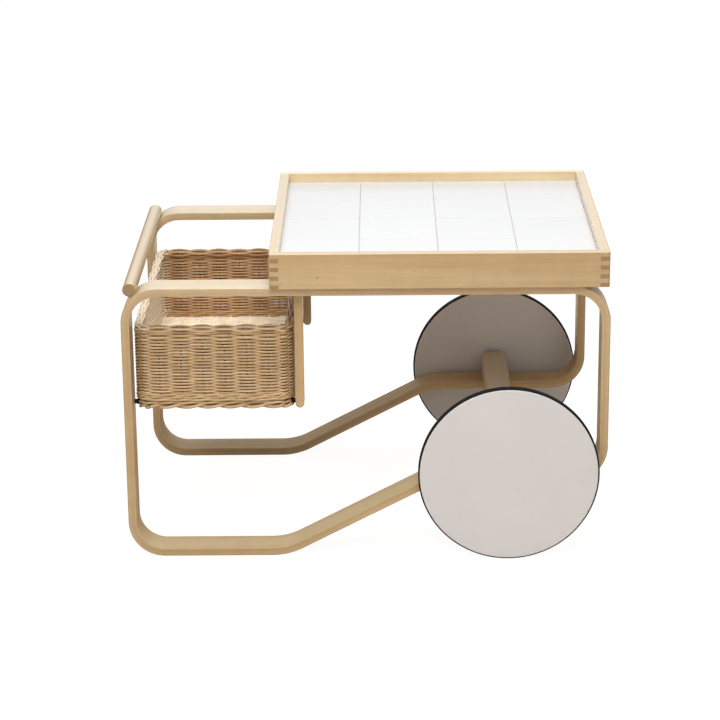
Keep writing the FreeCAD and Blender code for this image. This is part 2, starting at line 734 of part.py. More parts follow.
def make_basket(screws):
    """Rim, walls, floor and foot border, with a spacer on each of its four screws."""
    node("basket_walls", basket_shell())
    node("basket_rim", ring_bar("rim_bar", "rim", "rim_length", "basket_depth", "rim_base"))
    border = ring_bar("border_bar", "border", "border_length", "border_depth", "basket_base")
    spacers = []
    for side, sign in SIDES.items():
        for end, way in ENDS.items():
            start = f"basket_mid + {way} * (basket_bay / 2 - spacer_length)"
            spacers.append(rod(f"spacer_{side}_{end}", "spacer_dia / 2", "spacer_length",
                               (start, f"{sign} * spacer_mid", "spacer_high"), SIDEWAYS[end]))
    sleeves = group("spacer_blanks", spacers)
    node("basket_border", cut("drilled_border", border, [sleeves, screws["basket"]]))
    node("basket_spacers", cut("drilled_spacers", sleeves, [screws["basket"]]))
    panel = reeds("floor_panel", "XZ_Plane", "-floor_depth / 2", "floor_sticks", "floor_pitch",
                  "floor_thick", "floor_waist", "floor_depth")
    place(panel, ("basket_mid", "0", "wall_base + floor_thick / 2"))
    level = number("wall_base + floor_thick / 2")
    node("basket_floor", ease("floor_rounded", panel, "wall_round - basket_wall",
                              lambda p: close(p.z, level)))


def make_axle_beam(screws):
    """The cross rail on the two axle runs, grooved underneath for the axle."""
    rail = box("beam_blank", ("beam_width", "frame_track - 2 * beam_inset", "beam_height"),
               ("wheel_x - beam_width / 2", "beam_inset - half_track", "run_top"))
    top = number("run_top + beam_height")
    rail = ease("beam_eased", rail, "beam_round", lambda p: close(p.z, top) and close(p.y, 0))
    bore = rod("beam_bore", "axle_dia / 2", "frame_track", ("wheel_x", "-half_track", "axle_high"), ALONG_Y)
    slot = box("beam_slot", ("axle_dia", "frame_track", "axle_dia / 2"),
               ("wheel_x - axle_dia / 2", "-half_track", "run_top"))
    node("axle_beam", cut("beam", rail, [bore, slot, screws["beam"]]))


def make_axle():
    """The steel axle with a ring groove near each end."""
    groove = "wheel_inside + ring_start"
    full = "axle_dia / 2"
    waist = "axle_dia / 2 - ring_groove"
    half = [(waist, groove), (waist, f"{groove} + ring_thick"), (full, f"{groove} + ring_thick"),
            (full, "axle_half"), ("0", "axle_half")]
    upper = [(full, groove)] + half
    lower = [(radius, f"-({height})") for radius, height in reversed(upper)]
    node("axle", turned("axle_bar", lower + upper, ("wheel_x", "0", "axle_high"), ALONG_Y))


def make_wheel(side):
    """One wheel with its tyre, bush, screws, spacer washer and retaining ring."""
    sign = SIDES[side]
    turn = OUTWARD[side]
    face = ("wheel_x", f"{sign} * wheel_inside", "axle_high")
    hub = "barrel_dia / 2"
    flange_screws = []
    count = round(number("flange_screws"))
    for index in range(count):
        angle = f"({index} * 360 / flange_screws) * 1 deg"
        spot = (f"wheel_x + flange_screw_ring / 2 * sin({angle})",
                f"{sign} * (wheel_inside - flange_thick)",
                f"axle_high + flange_screw_ring / 2 * cos({angle})")
        flange_screws.append(screw(f"flange_screw_{side}_{index + 1}", spot, turn,
                                   "flange_thick + flange_screw_bite", "flange_screw"))
    screw_set = group(f"flange_screw_set_{side}", flange_screws)
    seat_end = "tyre_lip + tyre_width"
    disc = turned(f"disc_{side}", [
        (hub, "0"), ("disc_radius - wheel_ease", "0"), ("disc_radius", "wheel_ease"),
        ("disc_radius", "tyre_lip"), ("tyre_seat", "tyre_lip"), ("tyre_seat", seat_end),
        ("disc_radius", seat_end), ("disc_radius", "wheel_thick - wheel_ease"),
        ("disc_radius - wheel_ease", "wheel_thick"), ("0", "wheel_thick"),
        ("0", "hub_depth"), (hub, "hub_depth")], face, turn)
    node(f"wheel_disc_{side}", cut(f"drilled_disc_{side}", disc, [screw_set]))
    node(f"tyre_{side}", turned(f"tyre_strip_{side}", [
        ("tyre_seat", "tyre_lip"), ("wheel_radius - tyre_crown", "tyre_lip"),
        ("wheel_radius", "tyre_lip + tyre_crown"), ("wheel_radius", f"{seat_end} - tyre_crown"),
        ("wheel_radius - tyre_crown", seat_end), ("tyre_seat", seat_end)], face, turn))
    bore = "axle_dia / 2 + running_fit"
    bush = turned(f"bush_{side}", [
        (bore, "-flange_thick"), ("flange_dia / 2", "-flange_thick"), ("flange_dia / 2", "0"),
        (hub, "0"), (hub, "barrel_length"), (bore, "barrel_length")], face, turn)
    node(f"hub_bush_{side}", cut(f"drilled_bush_{side}", bush, [screw_set]))
    node(f"bush_screws_{side}", screw_set)
    inside = "axle_dia / 2 + washer_fit"
    start = ("wheel_x", f"{sign} * half_track", "axle_high")
    node(f"axle_washer_{side}", turned(f"washer_{side}", [
        (inside, "0"), ("washer_dia / 2", "0"), ("washer_dia / 2", "washer_thick"),
        (inside, "washer_thick")], start, turn))
    bore = "ring_dia / 2 - ring_wide"
    ring = turned(f"ring_{side}", [
        (bore, "ring_start"), ("ring_dia / 2", "ring_start"),
        ("ring_dia / 2", "ring_start + ring_thick"), (bore, "ring_start + ring_thick")], face, turn)
    ring_mid = f"{sign} * (wheel_inside + ring_start + ring_thick / 2)"
    opening = box(f"ring_opening_{side}", ("ring_opening", "2 * ring_thick", "ring_dia"),
                  ("wheel_x - ring_opening / 2", f"{ring_mid} - ring_thick", "axle_high"))
    node(f"retaining_ring_{side}", cut(f"split_ring_{side}", ring, [opening]))


def check_and_write():
    """Stop on any failed object, then write each piece to its own file."""
    doc.recompute()
    for piece in doc.Objects:
        if "Invalid" in piece.State or "Error" in piece.State:
            raise RuntimeError(f"{piece.Name} failed: {piece.State}")
    os.makedirs("parts", exist_ok=True)
    for piece in nodes:
        shape = piece.Shape
        if shape.isNull() or not shape.isValid() or not shape.Solids:
            raise RuntimeError(f"{piece.Label} is not a valid solid")
        shape.exportStep(f"parts/{piece.Label}.step")
        print(f"{piece.Label}: {len(shape.Solids)} solid(s), {shape.Volume / 1000:.2f} cm3")


fill_sheet()
all_screws = make_screws()
for frame_side in SIDES:
    make_frame(frame_side, all_screws)
make_handle(all_screws)
make_tray(all_screws)
make_tiles()
for post_side in SIDES:
    make_post(post_side, all_screws)
make_basket(all_screws)
make_axle_beam(all_screws)
make_axle()
for wheel_side in SIDES:
    make_wheel(wheel_side)
check_and_write()
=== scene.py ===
import math

import bmesh
import bpy
import numpy as np
from mathutils import Matrix, Vector


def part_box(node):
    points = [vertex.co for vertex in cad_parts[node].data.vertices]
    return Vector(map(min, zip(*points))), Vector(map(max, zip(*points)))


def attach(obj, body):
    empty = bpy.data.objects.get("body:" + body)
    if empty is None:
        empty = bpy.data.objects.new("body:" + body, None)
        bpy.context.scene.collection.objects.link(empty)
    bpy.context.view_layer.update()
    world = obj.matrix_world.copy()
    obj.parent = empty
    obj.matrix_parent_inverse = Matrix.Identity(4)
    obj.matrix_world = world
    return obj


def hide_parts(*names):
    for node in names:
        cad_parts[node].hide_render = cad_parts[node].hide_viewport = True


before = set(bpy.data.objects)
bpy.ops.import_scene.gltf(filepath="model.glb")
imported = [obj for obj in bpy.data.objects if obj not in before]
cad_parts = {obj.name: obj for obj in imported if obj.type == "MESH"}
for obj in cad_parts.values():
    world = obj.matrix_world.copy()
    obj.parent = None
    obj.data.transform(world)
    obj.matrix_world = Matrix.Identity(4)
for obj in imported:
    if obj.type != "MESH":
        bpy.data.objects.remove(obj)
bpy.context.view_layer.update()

# Looks of the tea trolley, in metres. +X points from the handle to the wheels, +Z is up,
# and the near side is -Y.

SEED = 20
MM = 0.001
SIDES = {"near": -1, "far": 1}
rng = np.random.default_rng(SEED)

# How finely shapes are drawn
CREASE = math.radians(50)
FLAT_WEIGHT = 100
CORNER_STEPS = 3
BEND_STEP = math.radians(4)
ARC_STEPS = 4
POST_STEPS = 12
BEVEL_OVER = math.radians(40)
BEVEL_PROFILE = 0.5
BEVEL_STEPS = 2
TILE_STEPS = 3
HANDLE_SEGMENTS = 64
WHEEL_SEGMENTS = 192
FACE_RINGS = (1 / 2, 1 / 8)

# Sizes that the boxes of the frame don't give
STRIP_THICK = 16 * MM
STRIP_EASE = 2 * MM
BEND_RADIUS = 60 * MM
SLOPE_RADIUS = 122 * MM
FOOT_CORNER = -150 * MM
SLOPE_CORNER = 129 * MM
RUN_MID = 152 * MM
SEAM_X = 240 * MM
HANDLE_EASE = 2 * MM
POST_EASE = 0.9 * MM
TILE_EASE = 0.5 * MM
WHEEL_EASE = 1.5 * MM
HUB_RADIUS = 12 * MM
HUB_DEPTH = 12.5 * MM
TYRE_LIP = 2.5 * MM
TYRE_CROWN = 1.6 * MM
TILE_LINES = 4

# Weave of the basket: stakes on each stretch of the walls, from the near one anticlockwise
STRETCH_STAKES = np.array([6, 2, 12, 2, 6, 2, 12, 2])
STAKES = STRETCH_STAKES.sum()
STRETCH_STARTS = np.cumsum(STRETCH_STAKES) - STRETCH_STAKES
WALL_THICK = 9.4 * MM
WALL_BEND = 22.3 * MM
STAKE_RADIUS = 1.9 * MM
STAKE_WIDE = 2.2 * MM
# Painted shade: the stakes' tone below the top rows, dark for the shade in the gaps between the weavers
STAKE_SHADE_TONE = 1.8
STAKE_RINGS = 24
STAKE_CURL = (-40, 240)
CURL_RINGS = 22
SIZE_SPREAD = (0.95, 1.05)
TONE_SPREAD = (0.15, 0.75)
CORE_TONE = 1
OUTWARD = (1, 0)
GRAIN_START = 50
GRAIN_SHIFT = 5
POINTS_PER_STAKE = 5
STRAND_SIDES = 8

# Rows of the weave, where a pair of half sizes is at a stake and between two stakes
WEAVER_TALL = (2.2 * MM, 1.95 * MM)
WEAVER_DEEP = (2.15 * MM, 2.4 * MM)
WEAVER_PITCH = 3.03 * MM
WEAVER_SWING = 2.5 * MM
TOP_ROWS = 4
TOP_PITCH = 3.8 * MM
TOP_TALL = (2.9 * MM, 2.2 * MM)
WALE_ROWS = 3
WALE_STRANDS = 3
WALE_SHIFT = 0.4
WALE_PITCH = 4.7 * MM
WALE_RADIUS = 2.35 * MM
WALE_SWING = 2.4 * MM
WALE_RISE = 1.3 * MM
CORNER_LIFT = 4.5 * MM
CORNER_REACH = 55 * MM
LIFT_HEIGHT = 62 * MM
WOBBLE = 0.16 * MM
WOBBLE_WAVES = (3, 8)
WOBBLE_SHARE = 0.6

# Foot border, rim and floor of the basket
BORDER_STRANDS = 2
BORDER_START = 0.5
BORDER_RADIUS = 3.1 * MM
BORDER_SWING = 5.4 * MM
BORDER_RISE = 2.9 * MM
BORDER_UPPER_START = 0.7
BORDER_UPPER = 2.6 * MM
BORDER_UPPER_SWING = 4.2 * MM
ROLL_RADIUS = 4.0 * MM
ROLL_SWING = 2.6 * MM
ROLL_STRAND = 2.5 * MM
ROLL_FIRST = math.radians(-55)
ROLL_STEP = math.radians(34)
ROLL_ROWS = 10
ROLL_CORE = 2.7 * MM
ROLL_WOBBLE = WOBBLE / 3
FLOOR_PITCH = 3.2 * MM
FLOOR_SWING = 1.3 * MM
FLOOR_WIDE = 2.3 * MM
FLOOR_THIN = 1.1 * MM
FLOOR_STICKS = 7
FLOOR_CORNER = 17.6 * MM
FLOOR_WAVE = 2.6 * MM
FLOOR_TONES = (0, 0.5)
STICK_WIDE = 2.6 * MM
STICK_TONES = (0.3, 0.8)
STICK_POINTS = 9


# Node materials

WHITE = (1.0, 1.0, 1.0, 1.0)

# Ranges that the middle, most and nearly all of a noise keep to
NOISE_CORE = (0.3, 0.7)
NOISE_MOST = (0.25, 0.75)
NOISE_FULL = (0.2, 0.8)
NOISE_ROUGH = 0.55

# Sockets of a mix node for its two colours and for their blend
MIX_FIRST = 6
MIX_SECOND = 7
MIX_BLEND = 2

# In the names of the materials below, NOISE is scales along three axes, detail and maybe roughness,
# RANGE the part of a noise that shows, GAIN what a noise is taken to, SHARE how much of a colour is
# mixed in, ROUGH a roughness or its range, and BUMP a strength and a distance.


def add(tree, kind, inputs=None, **settings):
    """A new shader node with its settings, and its inputs linked or set."""
    made = tree.nodes.new(kind)
    for name, value in settings.items():
        setattr(made, name, value)
    for name, value in (inputs or {}).items():
        if isinstance(value, bpy.types.NodeSocket):
            tree.links.new(value, made.inputs[name])
        else:
            made.inputs[name].default_value = value
    return made


def math_node(tree, operation, first, second=0.0):
    """The result of one arithmetic step."""
    return add(tree, "ShaderNodeMath", {0: first, 1: second}, operation=operation).outputs[0]


def vector_node(tree, operation, *vectors):
    """The outputs of one step with vectors."""
    return add(tree, "ShaderNodeVectorMath", dict(enumerate(vectors)), operation=operation).outputs


def scaled(tree, vector, scale, shift=(0.0, 0.0, 0.0)):
    """Coordinates stretched by three factors and then shifted."""
    return vector_node(tree, "MULTIPLY_ADD", vector, scale, shift)[0]


def parts(tree, vector):
    """The X, Y and Z of a vector."""
    return add(tree, "ShaderNodeSeparateXYZ", {0: vector}).outputs


def attribute(tree, name):
    """The outputs for values that a mesh holds at its points."""
    return add(tree, "ShaderNodeAttribute", attribute_name=name).outputs


def places(tree):
    """The coordinates that a surface or the sky is painted by."""
    return add(tree, "ShaderNodeTexCoord").outputs


def remap(tree, value, low, high, new_low=0.0, new_high=1.0):
    """A value taken from one range to another and held inside it."""
    inputs = {"Value": value, "From Min": low, "From Max": high, "To Min": new_low, "To Max": new_high}
    return add(tree, "ShaderNodeMapRange", inputs).outputs[0]


def mix(tree, factor, first, second, kind="MIX"):
    """Two colours blended by a factor."""
    inputs = {0: factor, MIX_FIRST: first, MIX_SECOND: second}
    return add(tree, "ShaderNodeMix", inputs, data_type="RGBA", blend_type=kind).outputs[MIX_BLEND]


def tinted(tree, colour, tint):
    """A colour multiplied by another."""
    return mix(tree, 1.0, colour, tint, "MULTIPLY")


def toned(tree, colour, value):
    """A colour made darker or lighter by a value."""
    shade = add(tree, "ShaderNodeCombineColor", {0: value, 1: value, 2: value}).outputs[0]
    return tinted(tree, colour, shade)


def noise(tree, vector, scale, detail, rough=NOISE_ROUGH):
    """Soft noise on stretched coordinates."""
    inputs = {"Vector": scaled(tree, vector, scale), "Scale": 1.0, "Detail": detail, "Roughness": rough}
    return add(tree, "ShaderNodeTexNoise", inputs).outputs["Fac"]


def bump(tree, height, strength, distance):
    """A surface normal from a height."""
    inputs = {"Height": height, "Strength": strength, "Distance": distance}
    return add(tree, "ShaderNodeBump", inputs).outputs[0]


def new_material(name):
    """An empty principled material: the material, its tree and its shader."""
    material = bpy.data.materials.new(name)
    material.use_nodes = True
    tree = material.node_tree
    return material, tree, tree.nodes["Principled BSDF"]


def plug(tree, shader, **sockets):
    """Link or set sockets of a shader, with underscores for spaces."""
    for name, value in sockets.items():
        socket = shader.inputs[name.replace("_", " ")]
        if isinstance(value, bpy.types.NodeSocket):
            tree.links.new(value, socket)
        else:
            socket.default_value = value


# Birch, with its noises along, across and through the grain
BIRCH_PALE = (0.52, 0.395, 0.215, 1.0)
BIRCH_WARM = (0.445, 0.308, 0.147, 1.0)
BIRCH_FLECK = (0.30, 0.18, 0.09, 1.0)
BIRCH_END = (0.305, 0.2, 0.096, 1.0)
BIRCH_GLUE = (0.25, 0.158, 0.09, 1.0)
BIRCH_KNOT = (0.13, 0.065, 0.03, 1.0)
FRAME_TINT = (1.05, 1.08, 1.16, 1.0)
# Painted light: the rear board's birch made paler and bluer, for the light that the white tiles throw onto it
REAR_LIT_TINT = (1.5, 1.58, 1.75, 1.0)
DRIFT_NOISE = ((1.6, 17.0, 17.0), 2.0)
FIGURE_NOISE = ((34.0, 9.0, 9.0), 2.0)
FIBRE_NOISE = ((9.0, 520.0, 520.0), 4.0, 0.62)
BAND_NOISE = ((2.2, 95.0, 95.0), 3.0)
FLECK_NOISE = ((75.0, 1050.0, 1050.0), 1.0)
PORE_NOISE = ((700.0, 900.0, 900.0), 3.0)
RING_NOISE = ((20.0, 60.0, 420.0), 2.0)
FIBRE_GAIN = (0.90, 1.07)
BAND_GAIN = (-0.06, 0.05)
FIGURE_GAIN = (-0.035, 0.035)
FLECK_RANGE = (0.66, 0.76)
FLECK_SHARE = 0.4
PORE_GAIN = (0.8, 1.05)
RING_GAIN = (-0.12, 0.16)
END_FACING = (0.75, 0.92)
GRAIN_ORDER = {"X": (0, 1, 2), "Y": (1, 0, 2), "Z": (2, 0, 1)}
KNOT_PLACE = (-86 * MM, -310 * MM, 546 * MM)
KNOT_SCALE = (0.55, 0.3, 1.0)
KNOT_RADIUS = 1.5 * MM
KNOT_SHARE = 0.9
PLY_THICK = 1.45 * MM
PLY_LINE = (0.42, 0.48)
PLY_LINE_SHARE = 0.55
PLY_GAIN = (0.88, 1.10)
WOOD_ROUGH = (0.36, 0.52)
WOOD_BUMP = (0.10, 0.4 * MM)
LACQUER_ROUGH = 0.2
LACQUER_IOR = 1.5
SCUFF_FADE = (190 * MM, 420 * MM)
SCUFF_COAT = 0.1
SCUFF_DULL = 0.3


def birch_colour(tree, grain):
    """Colour and fibre height of birch along the first of the grain coordinates."""
    drift = noise(tree, grain, *DRIFT_NOISE)
    figure = noise(tree, grain, *FIGURE_NOISE)
    fibre = noise(tree, grain, *FIBRE_NOISE)
    band = noise(tree, grain, *BAND_NOISE)
    fleck = noise(tree, grain, *FLECK_NOISE)
    colour = mix(tree, remap(tree, drift, *NOISE_CORE), BIRCH_PALE, BIRCH_WARM)
    streak = remap(tree, fibre, *NOISE_MOST, *FIBRE_GAIN)
    streak = math_node(tree, "ADD", streak, remap(tree, band, *NOISE_CORE, *BAND_GAIN))
    streak = math_node(tree, "ADD", streak, remap(tree, figure, *NOISE_CORE, *FIGURE_GAIN))
    colour = toned(tree, colour, streak)
    colour = mix(tree, remap(tree, fleck, *FLECK_RANGE, 0.0, FLECK_SHARE), colour, BIRCH_FLECK)
    return colour, fibre


def knot(tree, spot):
    """The share of dark at the small knot in the front board, fading to nothing round it."""
    away = scaled(tree, vector_node(tree, "SUBTRACT", spot, KNOT_PLACE)[0], KNOT_SCALE)
    far = vector_node(tree, "LENGTH", away)["Value"]
    return remap(tree, far, KNOT_RADIUS / 2, KNOT_RADIUS, KNOT_SHARE, 0.0)


def lacquer(tree, shader, colour, fibre, coat=1.0, dull=0.0):
    """Clear satin lacquer of some weight over wood, with a dullness added to the wood below it."""
    rough = math_node(tree, "ADD", remap(tree, fibre, *NOISE_FULL, *WOOD_ROUGH), dull)
    plug(tree, shader, Base_Color=colour, Roughness=rough, Normal=bump(tree, fibre, *WOOD_BUMP),
         Coat_Weight=coat, Coat_Roughness=LACQUER_ROUGH, Coat_IOR=LACQUER_IOR)


def birch(name, axis, shift, tint=WHITE):
    """Solid birch with its grain along X, Y or Z, darker end grain and a tint; shift is where it is cut."""
    material, tree, shader = new_material(name)
    place = places(tree)
    order = GRAIN_ORDER[axis]
    along = parts(tree, place["Object"])
    turned = add(tree, "ShaderNodeCombineXYZ", {i: along[k] for i, k in enumerate(order)}).outputs[0]
    grain = vector_node(tree, "ADD", turned, shift)[0]
    colour, fibre = birch_colour(tree, grain)
    facing = math_node(tree, "ABSOLUTE", parts(tree, place["Normal"])[order[0]])
    pores = remap(tree, noise(tree, grain, *PORE_NOISE), *NOISE_CORE, *PORE_GAIN)
    rings = remap(tree, noise(tree, grain, *RING_NOISE), *NOISE_CORE, *RING_GAIN)
    cut = toned(tree, BIRCH_END, math_node(tree, "ADD", pores, rings))
    # The tint passed for the rear board is painted light
    colour = tinted(tree, mix(tree, remap(tree, facing, *END_FACING), colour, cut), tint)
    colour = mix(tree, knot(tree, place["Object"]), colour, BIRCH_KNOT)
    lacquer(tree, shader, colour, fibre)
    return material


def bent_birch(name):
    """Laminated birch: veneer faces, ply lines on the edges, and lacquer that is scuffed near the floor."""
    material, tree, shader = new_material(name)
    grain = attribute(tree, "grain")["Vector"]
    colour, fibre = birch_colour(tree, grain)
    layer = math_node(tree, "DIVIDE", parts(tree, grain)["Z"], PLY_THICK)
    number = math_node(tree, "FLOOR", layer)
    tone = add(tree, "ShaderNodeTexWhiteNoise", {"W": number}, noise_dimensions="1D").outputs["Value"]
    off_middle = math_node(tree, "SUBTRACT", math_node(tree, "FRACT", layer), 0.5)
    line = remap(tree, math_node(tree, "ABSOLUTE", off_middle), *PLY_LINE, 0.0, PLY_LINE_SHARE)
    colour = toned(tree, colour, remap(tree, tone, 0.0, 1.0, *PLY_GAIN))
    colour = tinted(tree, mix(tree, line, colour, BIRCH_GLUE), FRAME_TINT)
    height = parts(tree, places(tree)["Object"])["Z"]
    coat = remap(tree, height, *SCUFF_FADE, SCUFF_COAT, 1.0)
    dull = remap(tree, height, *SCUFF_FADE, SCUFF_DULL, 0.0)
    lacquer(tree, shader, colour, fibre, coat, dull)
    return material


# Willow, with its noises along, across and through a strand
WICKER_PALE = (0.66, 0.49, 0.285, 1.0)
WICKER_GOLD = (0.43, 0.275, 0.12, 1.0)
WICKER_BROWN = (0.27, 0.140, 0.055, 1.0)
# The dark that the painted shade of strand edges and of stakes goes to
WICKER_DARK = (0.11, 0.052, 0.02, 1.0)
SPLIT_PALE = (0.95, 0.85, 0.66, 1.0)
SPLIT_GOLD = (0.91, 0.76, 0.52, 1.0)
# Painted light: the pale that the handle side's up-facing and wheel-facing faces are lit to
LIT_PALE = (0.93, 0.81, 0.62, 1.0)
# Painted shade on faces that look into the basket
INSIDE_SHADE = (0.92, 0.76, 0.62, 1.0)
ROD_NOISE = ((14.0, 900.0, 900.0), 3.0)
PATCH_NOISE = ((26.0, 120.0, 120.0), 3.0)
BUD_NOISE = ((11.0, 30.0, 30.0), 1.0)
ROD_GAIN = (0.84, 1.10)
PATCH_RANGE = (0.42, 0.75)
PATCH_SHARE = 0.45
BUD_RANGE = (0.70, 0.76)
BUD_SHARE = 0.6
# Where on a strand's width the painted edge shade begins
EDGE_SHADE_RANGE = (0.74, 1.0)
INWARD_REACH = 20 * MM
# Where the painted light on the handle side fades in, and on which faces
LIT_FADE = (115 * MM, 135 * MM)
LIT_TOPS = (-0.1, 0.5)
LIT_SIDES = (0.0, 0.5)
WICKER_ROUGH = (0.42, 0.62)
WICKER_BUMP = (0.18, 0.3 * MM)
POLISH_ROUGH = 0.3


def inward_shade(tree, place):
    """The share of painted shade: one on faces of the near and far walls that look into the basket, and zero
    on others.
    """
    away = scaled(tree, place["Object"], (0.0, 1.0, 0.0), (0.0, -basket_mid.y, 0.0))
    facing = vector_node(tree, "DOT_PRODUCT", away, place["Normal"])["Value"]
    return remap(tree, facing, 0.0, -INWARD_REACH)


def lit_share(tree, place, tops, sides):
    """How much painted light the handle side gets, on faces that look up and on faces that look towards the
    wheels.
    """
    facing = parts(tree, place["Normal"])
    top = remap(tree, facing["Z"], *LIT_TOPS, 0.0, tops)
    side = remap(tree, facing["X"], *LIT_SIDES, 0.0, sides)
    aside = math_node(tree, "SUBTRACT", basket_mid.x, parts(tree, place["Object"])["X"])
    return math_node(tree, "MULTIPLY", math_node(tree, "MAXIMUM", top, side), remap(tree, aside, *LIT_FADE))


def wicker(name, pale, gold, polish, edge_shading, inside=WHITE, tops=0.0, sides=0.0):
    """Peeled willow: tones from pale over gold to dark, bud marks, painted shade along strand edges and on
    faces inside, and painted light on the handle side.
    """
    material, tree, shader = new_material(name)
    place = places(tree)
    grain = attribute(tree, "grain")["Vector"]
    tone = attribute(tree, "tone")["Fac"]
    edge_shade = attribute(tree, "edge_shade")["Fac"]
    fibre = noise(tree, grain, *ROD_NOISE)
    patch = noise(tree, grain, *PATCH_NOISE)
    bud = noise(tree, grain, *BUD_NOISE)
    colour = mix(tree, remap(tree, tone, 0.0, 1.0), pale, gold)
    # Tones past one, which the stakes have below the top rows, go towards dark as painted shade
    colour = mix(tree, remap(tree, tone, 1.0, 2.0), colour, WICKER_DARK)
    colour = mix(tree, remap(tree, patch, *PATCH_RANGE, 0.0, PATCH_SHARE), colour, WICKER_BROWN)
    colour = mix(tree, remap(tree, bud, *BUD_RANGE, 0.0, BUD_SHARE), colour, WICKER_BROWN)
    colour = toned(tree, colour, remap(tree, fibre, *NOISE_MOST, *ROD_GAIN))
    # Painted shade along the strands' edges, where they meet their neighbours
    colour = mix(tree, remap(tree, edge_shade, *EDGE_SHADE_RANGE, 0.0, edge_shading), colour, WICKER_DARK)
    # Painted shade on the inward faces of the near and far walls
    colour = mix(tree, inward_shade(tree, place), colour, tinted(tree, colour, inside))
    # Painted light on the handle side's faces that look up or towards the wheels
    colour = mix(tree, lit_share(tree, place, tops, sides), colour, LIT_PALE)
    plug(tree, shader, Base_Color=colour, Roughness=remap(tree, fibre, *NOISE_FULL, *WICKER_ROUGH),
         Normal=bump(tree, fibre, *WICKER_BUMP), Coat_Weight=polish, Coat_Roughness=POLISH_ROUGH)
    return material


# Tiles and the filler between them
GLAZE_WHITE = (0.585, 0.587, 0.593, 1.0)
WAVE_NOISE = ((26.0, 26.0, 26.0), 1.0)
SPECK_NOISE = ((420.0, 420.0, 420.0), 2.0)
TILE_GAIN = (0.972, 1.0)
SPECK_GAIN = (-0.008, 0.008)
GLAZE_ROUGH = (0.20, 0.26)
GLAZE_BUMP = (0.06, 2 * MM)
GLAZE_SPECULAR = 0.2
GROUT_PALE = (0.52, 0.49, 0.465, 1.0)
GROUT_STAINED = (0.44, 0.41, 0.38, 1.0)
# Painted light: a pale grout along the box's edges, lifting the shade at the foot of the boards
GROUT_LIT_EDGE = (0.92, 0.88, 0.82, 1.0)
SAND_NOISE = ((1500.0, 1500.0, 1500.0), 3.0)
STAIN_NOISE = ((18.0, 18.0, 18.0), 2.0)
SAND_GAIN = (0.85, 1.1)
LIT_EDGE_REACH = (-4 * MM, -2 * MM)
GROUT_ROUGH = (0.8, 0.95)
GROUT_BUMP = (0.3, 0.3 * MM)


def glaze(name):
    """Gloss white glaze, a little uneven and not quite the same on each tile."""
    material, tree, shader = new_material(name)
    place = places(tree)["Object"]
    each = add(tree, "ShaderNodeObjectInfo").outputs["Random"]
    wave = noise(tree, place, *WAVE_NOISE)
    speck = noise(tree, place, *SPECK_NOISE)
    tone = remap(tree, each, 0.0, 1.0, *TILE_GAIN)
    tone = math_node(tree, "ADD", tone, remap(tree, speck, *NOISE_CORE, *SPECK_GAIN))
    plug(tree, shader, Base_Color=toned(tree, GLAZE_WHITE, tone),
         Roughness=remap(tree, speck, *NOISE_CORE, *GLAZE_ROUGH),
         Normal=bump(tree, wave, *GLAZE_BUMP), Specular_IOR_Level=GLAZE_SPECULAR)
    return material


def grout(name, low, high):
    """Matt sandy joint filler, with painted light along the edges of its box, where the boards shade it."""
    material, tree, shader = new_material(name)
    place = places(tree)["Object"]
    sand = noise(tree, place, *SAND_NOISE)
    stain = noise(tree, place, *STAIN_NOISE)
    colour = mix(tree, remap(tree, stain, *NOISE_CORE), GROUT_PALE, GROUT_STAINED)
    off_middle = vector_node(tree, "SUBTRACT", place, (low + high) / 2)[0]
    away = vector_node(tree, "ABSOLUTE", off_middle)[0]
    past = parts(tree, vector_node(tree, "SUBTRACT", away, (high - low) / 2)[0])
    edge = math_node(tree, "MAXIMUM", past["X"], past["Y"])
    # Paler towards the edges of the box: painted light where the boards shade the joint
    colour = mix(tree, remap(tree, edge, *LIT_EDGE_REACH), colour, GROUT_LIT_EDGE)
    colour = toned(tree, colour, remap(tree, sand, *NOISE_CORE, *SAND_GAIN))
    plug(tree, shader, Base_Color=colour, Roughness=remap(tree, sand, *NOISE_CORE, *GROUT_ROUGH),
         Normal=bump(tree, sand, *GROUT_BUMP))
    return material


# Paint and rubber of the wheels
PAINT_GREY = (0.61, 0.63, 0.66, 1.0)
PEEL_NOISE = ((620.0, 620.0, 620.0), 2.0)
CLOUD_NOISE = ((9.0, 9.0, 9.0), 3.0)
CLOUD_GAIN = (0.975, 1.015)
PEEL_GAIN = (-0.01, 0.01)
PAINT_ROUGH = (0.42, 0.52)
PAINT_BUMP = (0.08, 0.4 * MM)
RUBBER_BLACK = (0.006, 0.006, 0.006, 1.0)
RUBBER_DUSTY = (0.018, 0.017, 0.016, 1.0)
DUST_NOISE = ((60.0, 60.0, 60.0), 4.0)
PIT_NOISE = ((1400.0, 1400.0, 1400.0), 2.0)
DUST_RANGE = (0.45, 0.8)
DUST_SHARE = 0.5
RUBBER_ROUGH = (0.6, 0.8)
RUBBER_BUMP = (0.25, 0.3 * MM)
RUBBER_SPECULAR = 0.15


def paint(name):
    """Satin pale grey paint with a faint brushed-out texture."""
    material, tree, shader = new_material(name)
    place = places(tree)["Object"]
    peel = noise(tree, place, *PEEL_NOISE)
    cloud = noise(tree, place, *CLOUD_NOISE)
    tone = remap(tree, cloud, *NOISE_CORE, *CLOUD_GAIN)
    tone = math_node(tree, "ADD", tone, remap(tree, peel, *NOISE_CORE, *PEEL_GAIN))
    plug(tree, shader, Base_Color=toned(tree, PAINT_GREY, tone),
         Roughness=remap(tree, cloud, *NOISE_CORE, *PAINT_ROUGH), Normal=bump(tree, peel, *PAINT_BUMP))
    return material


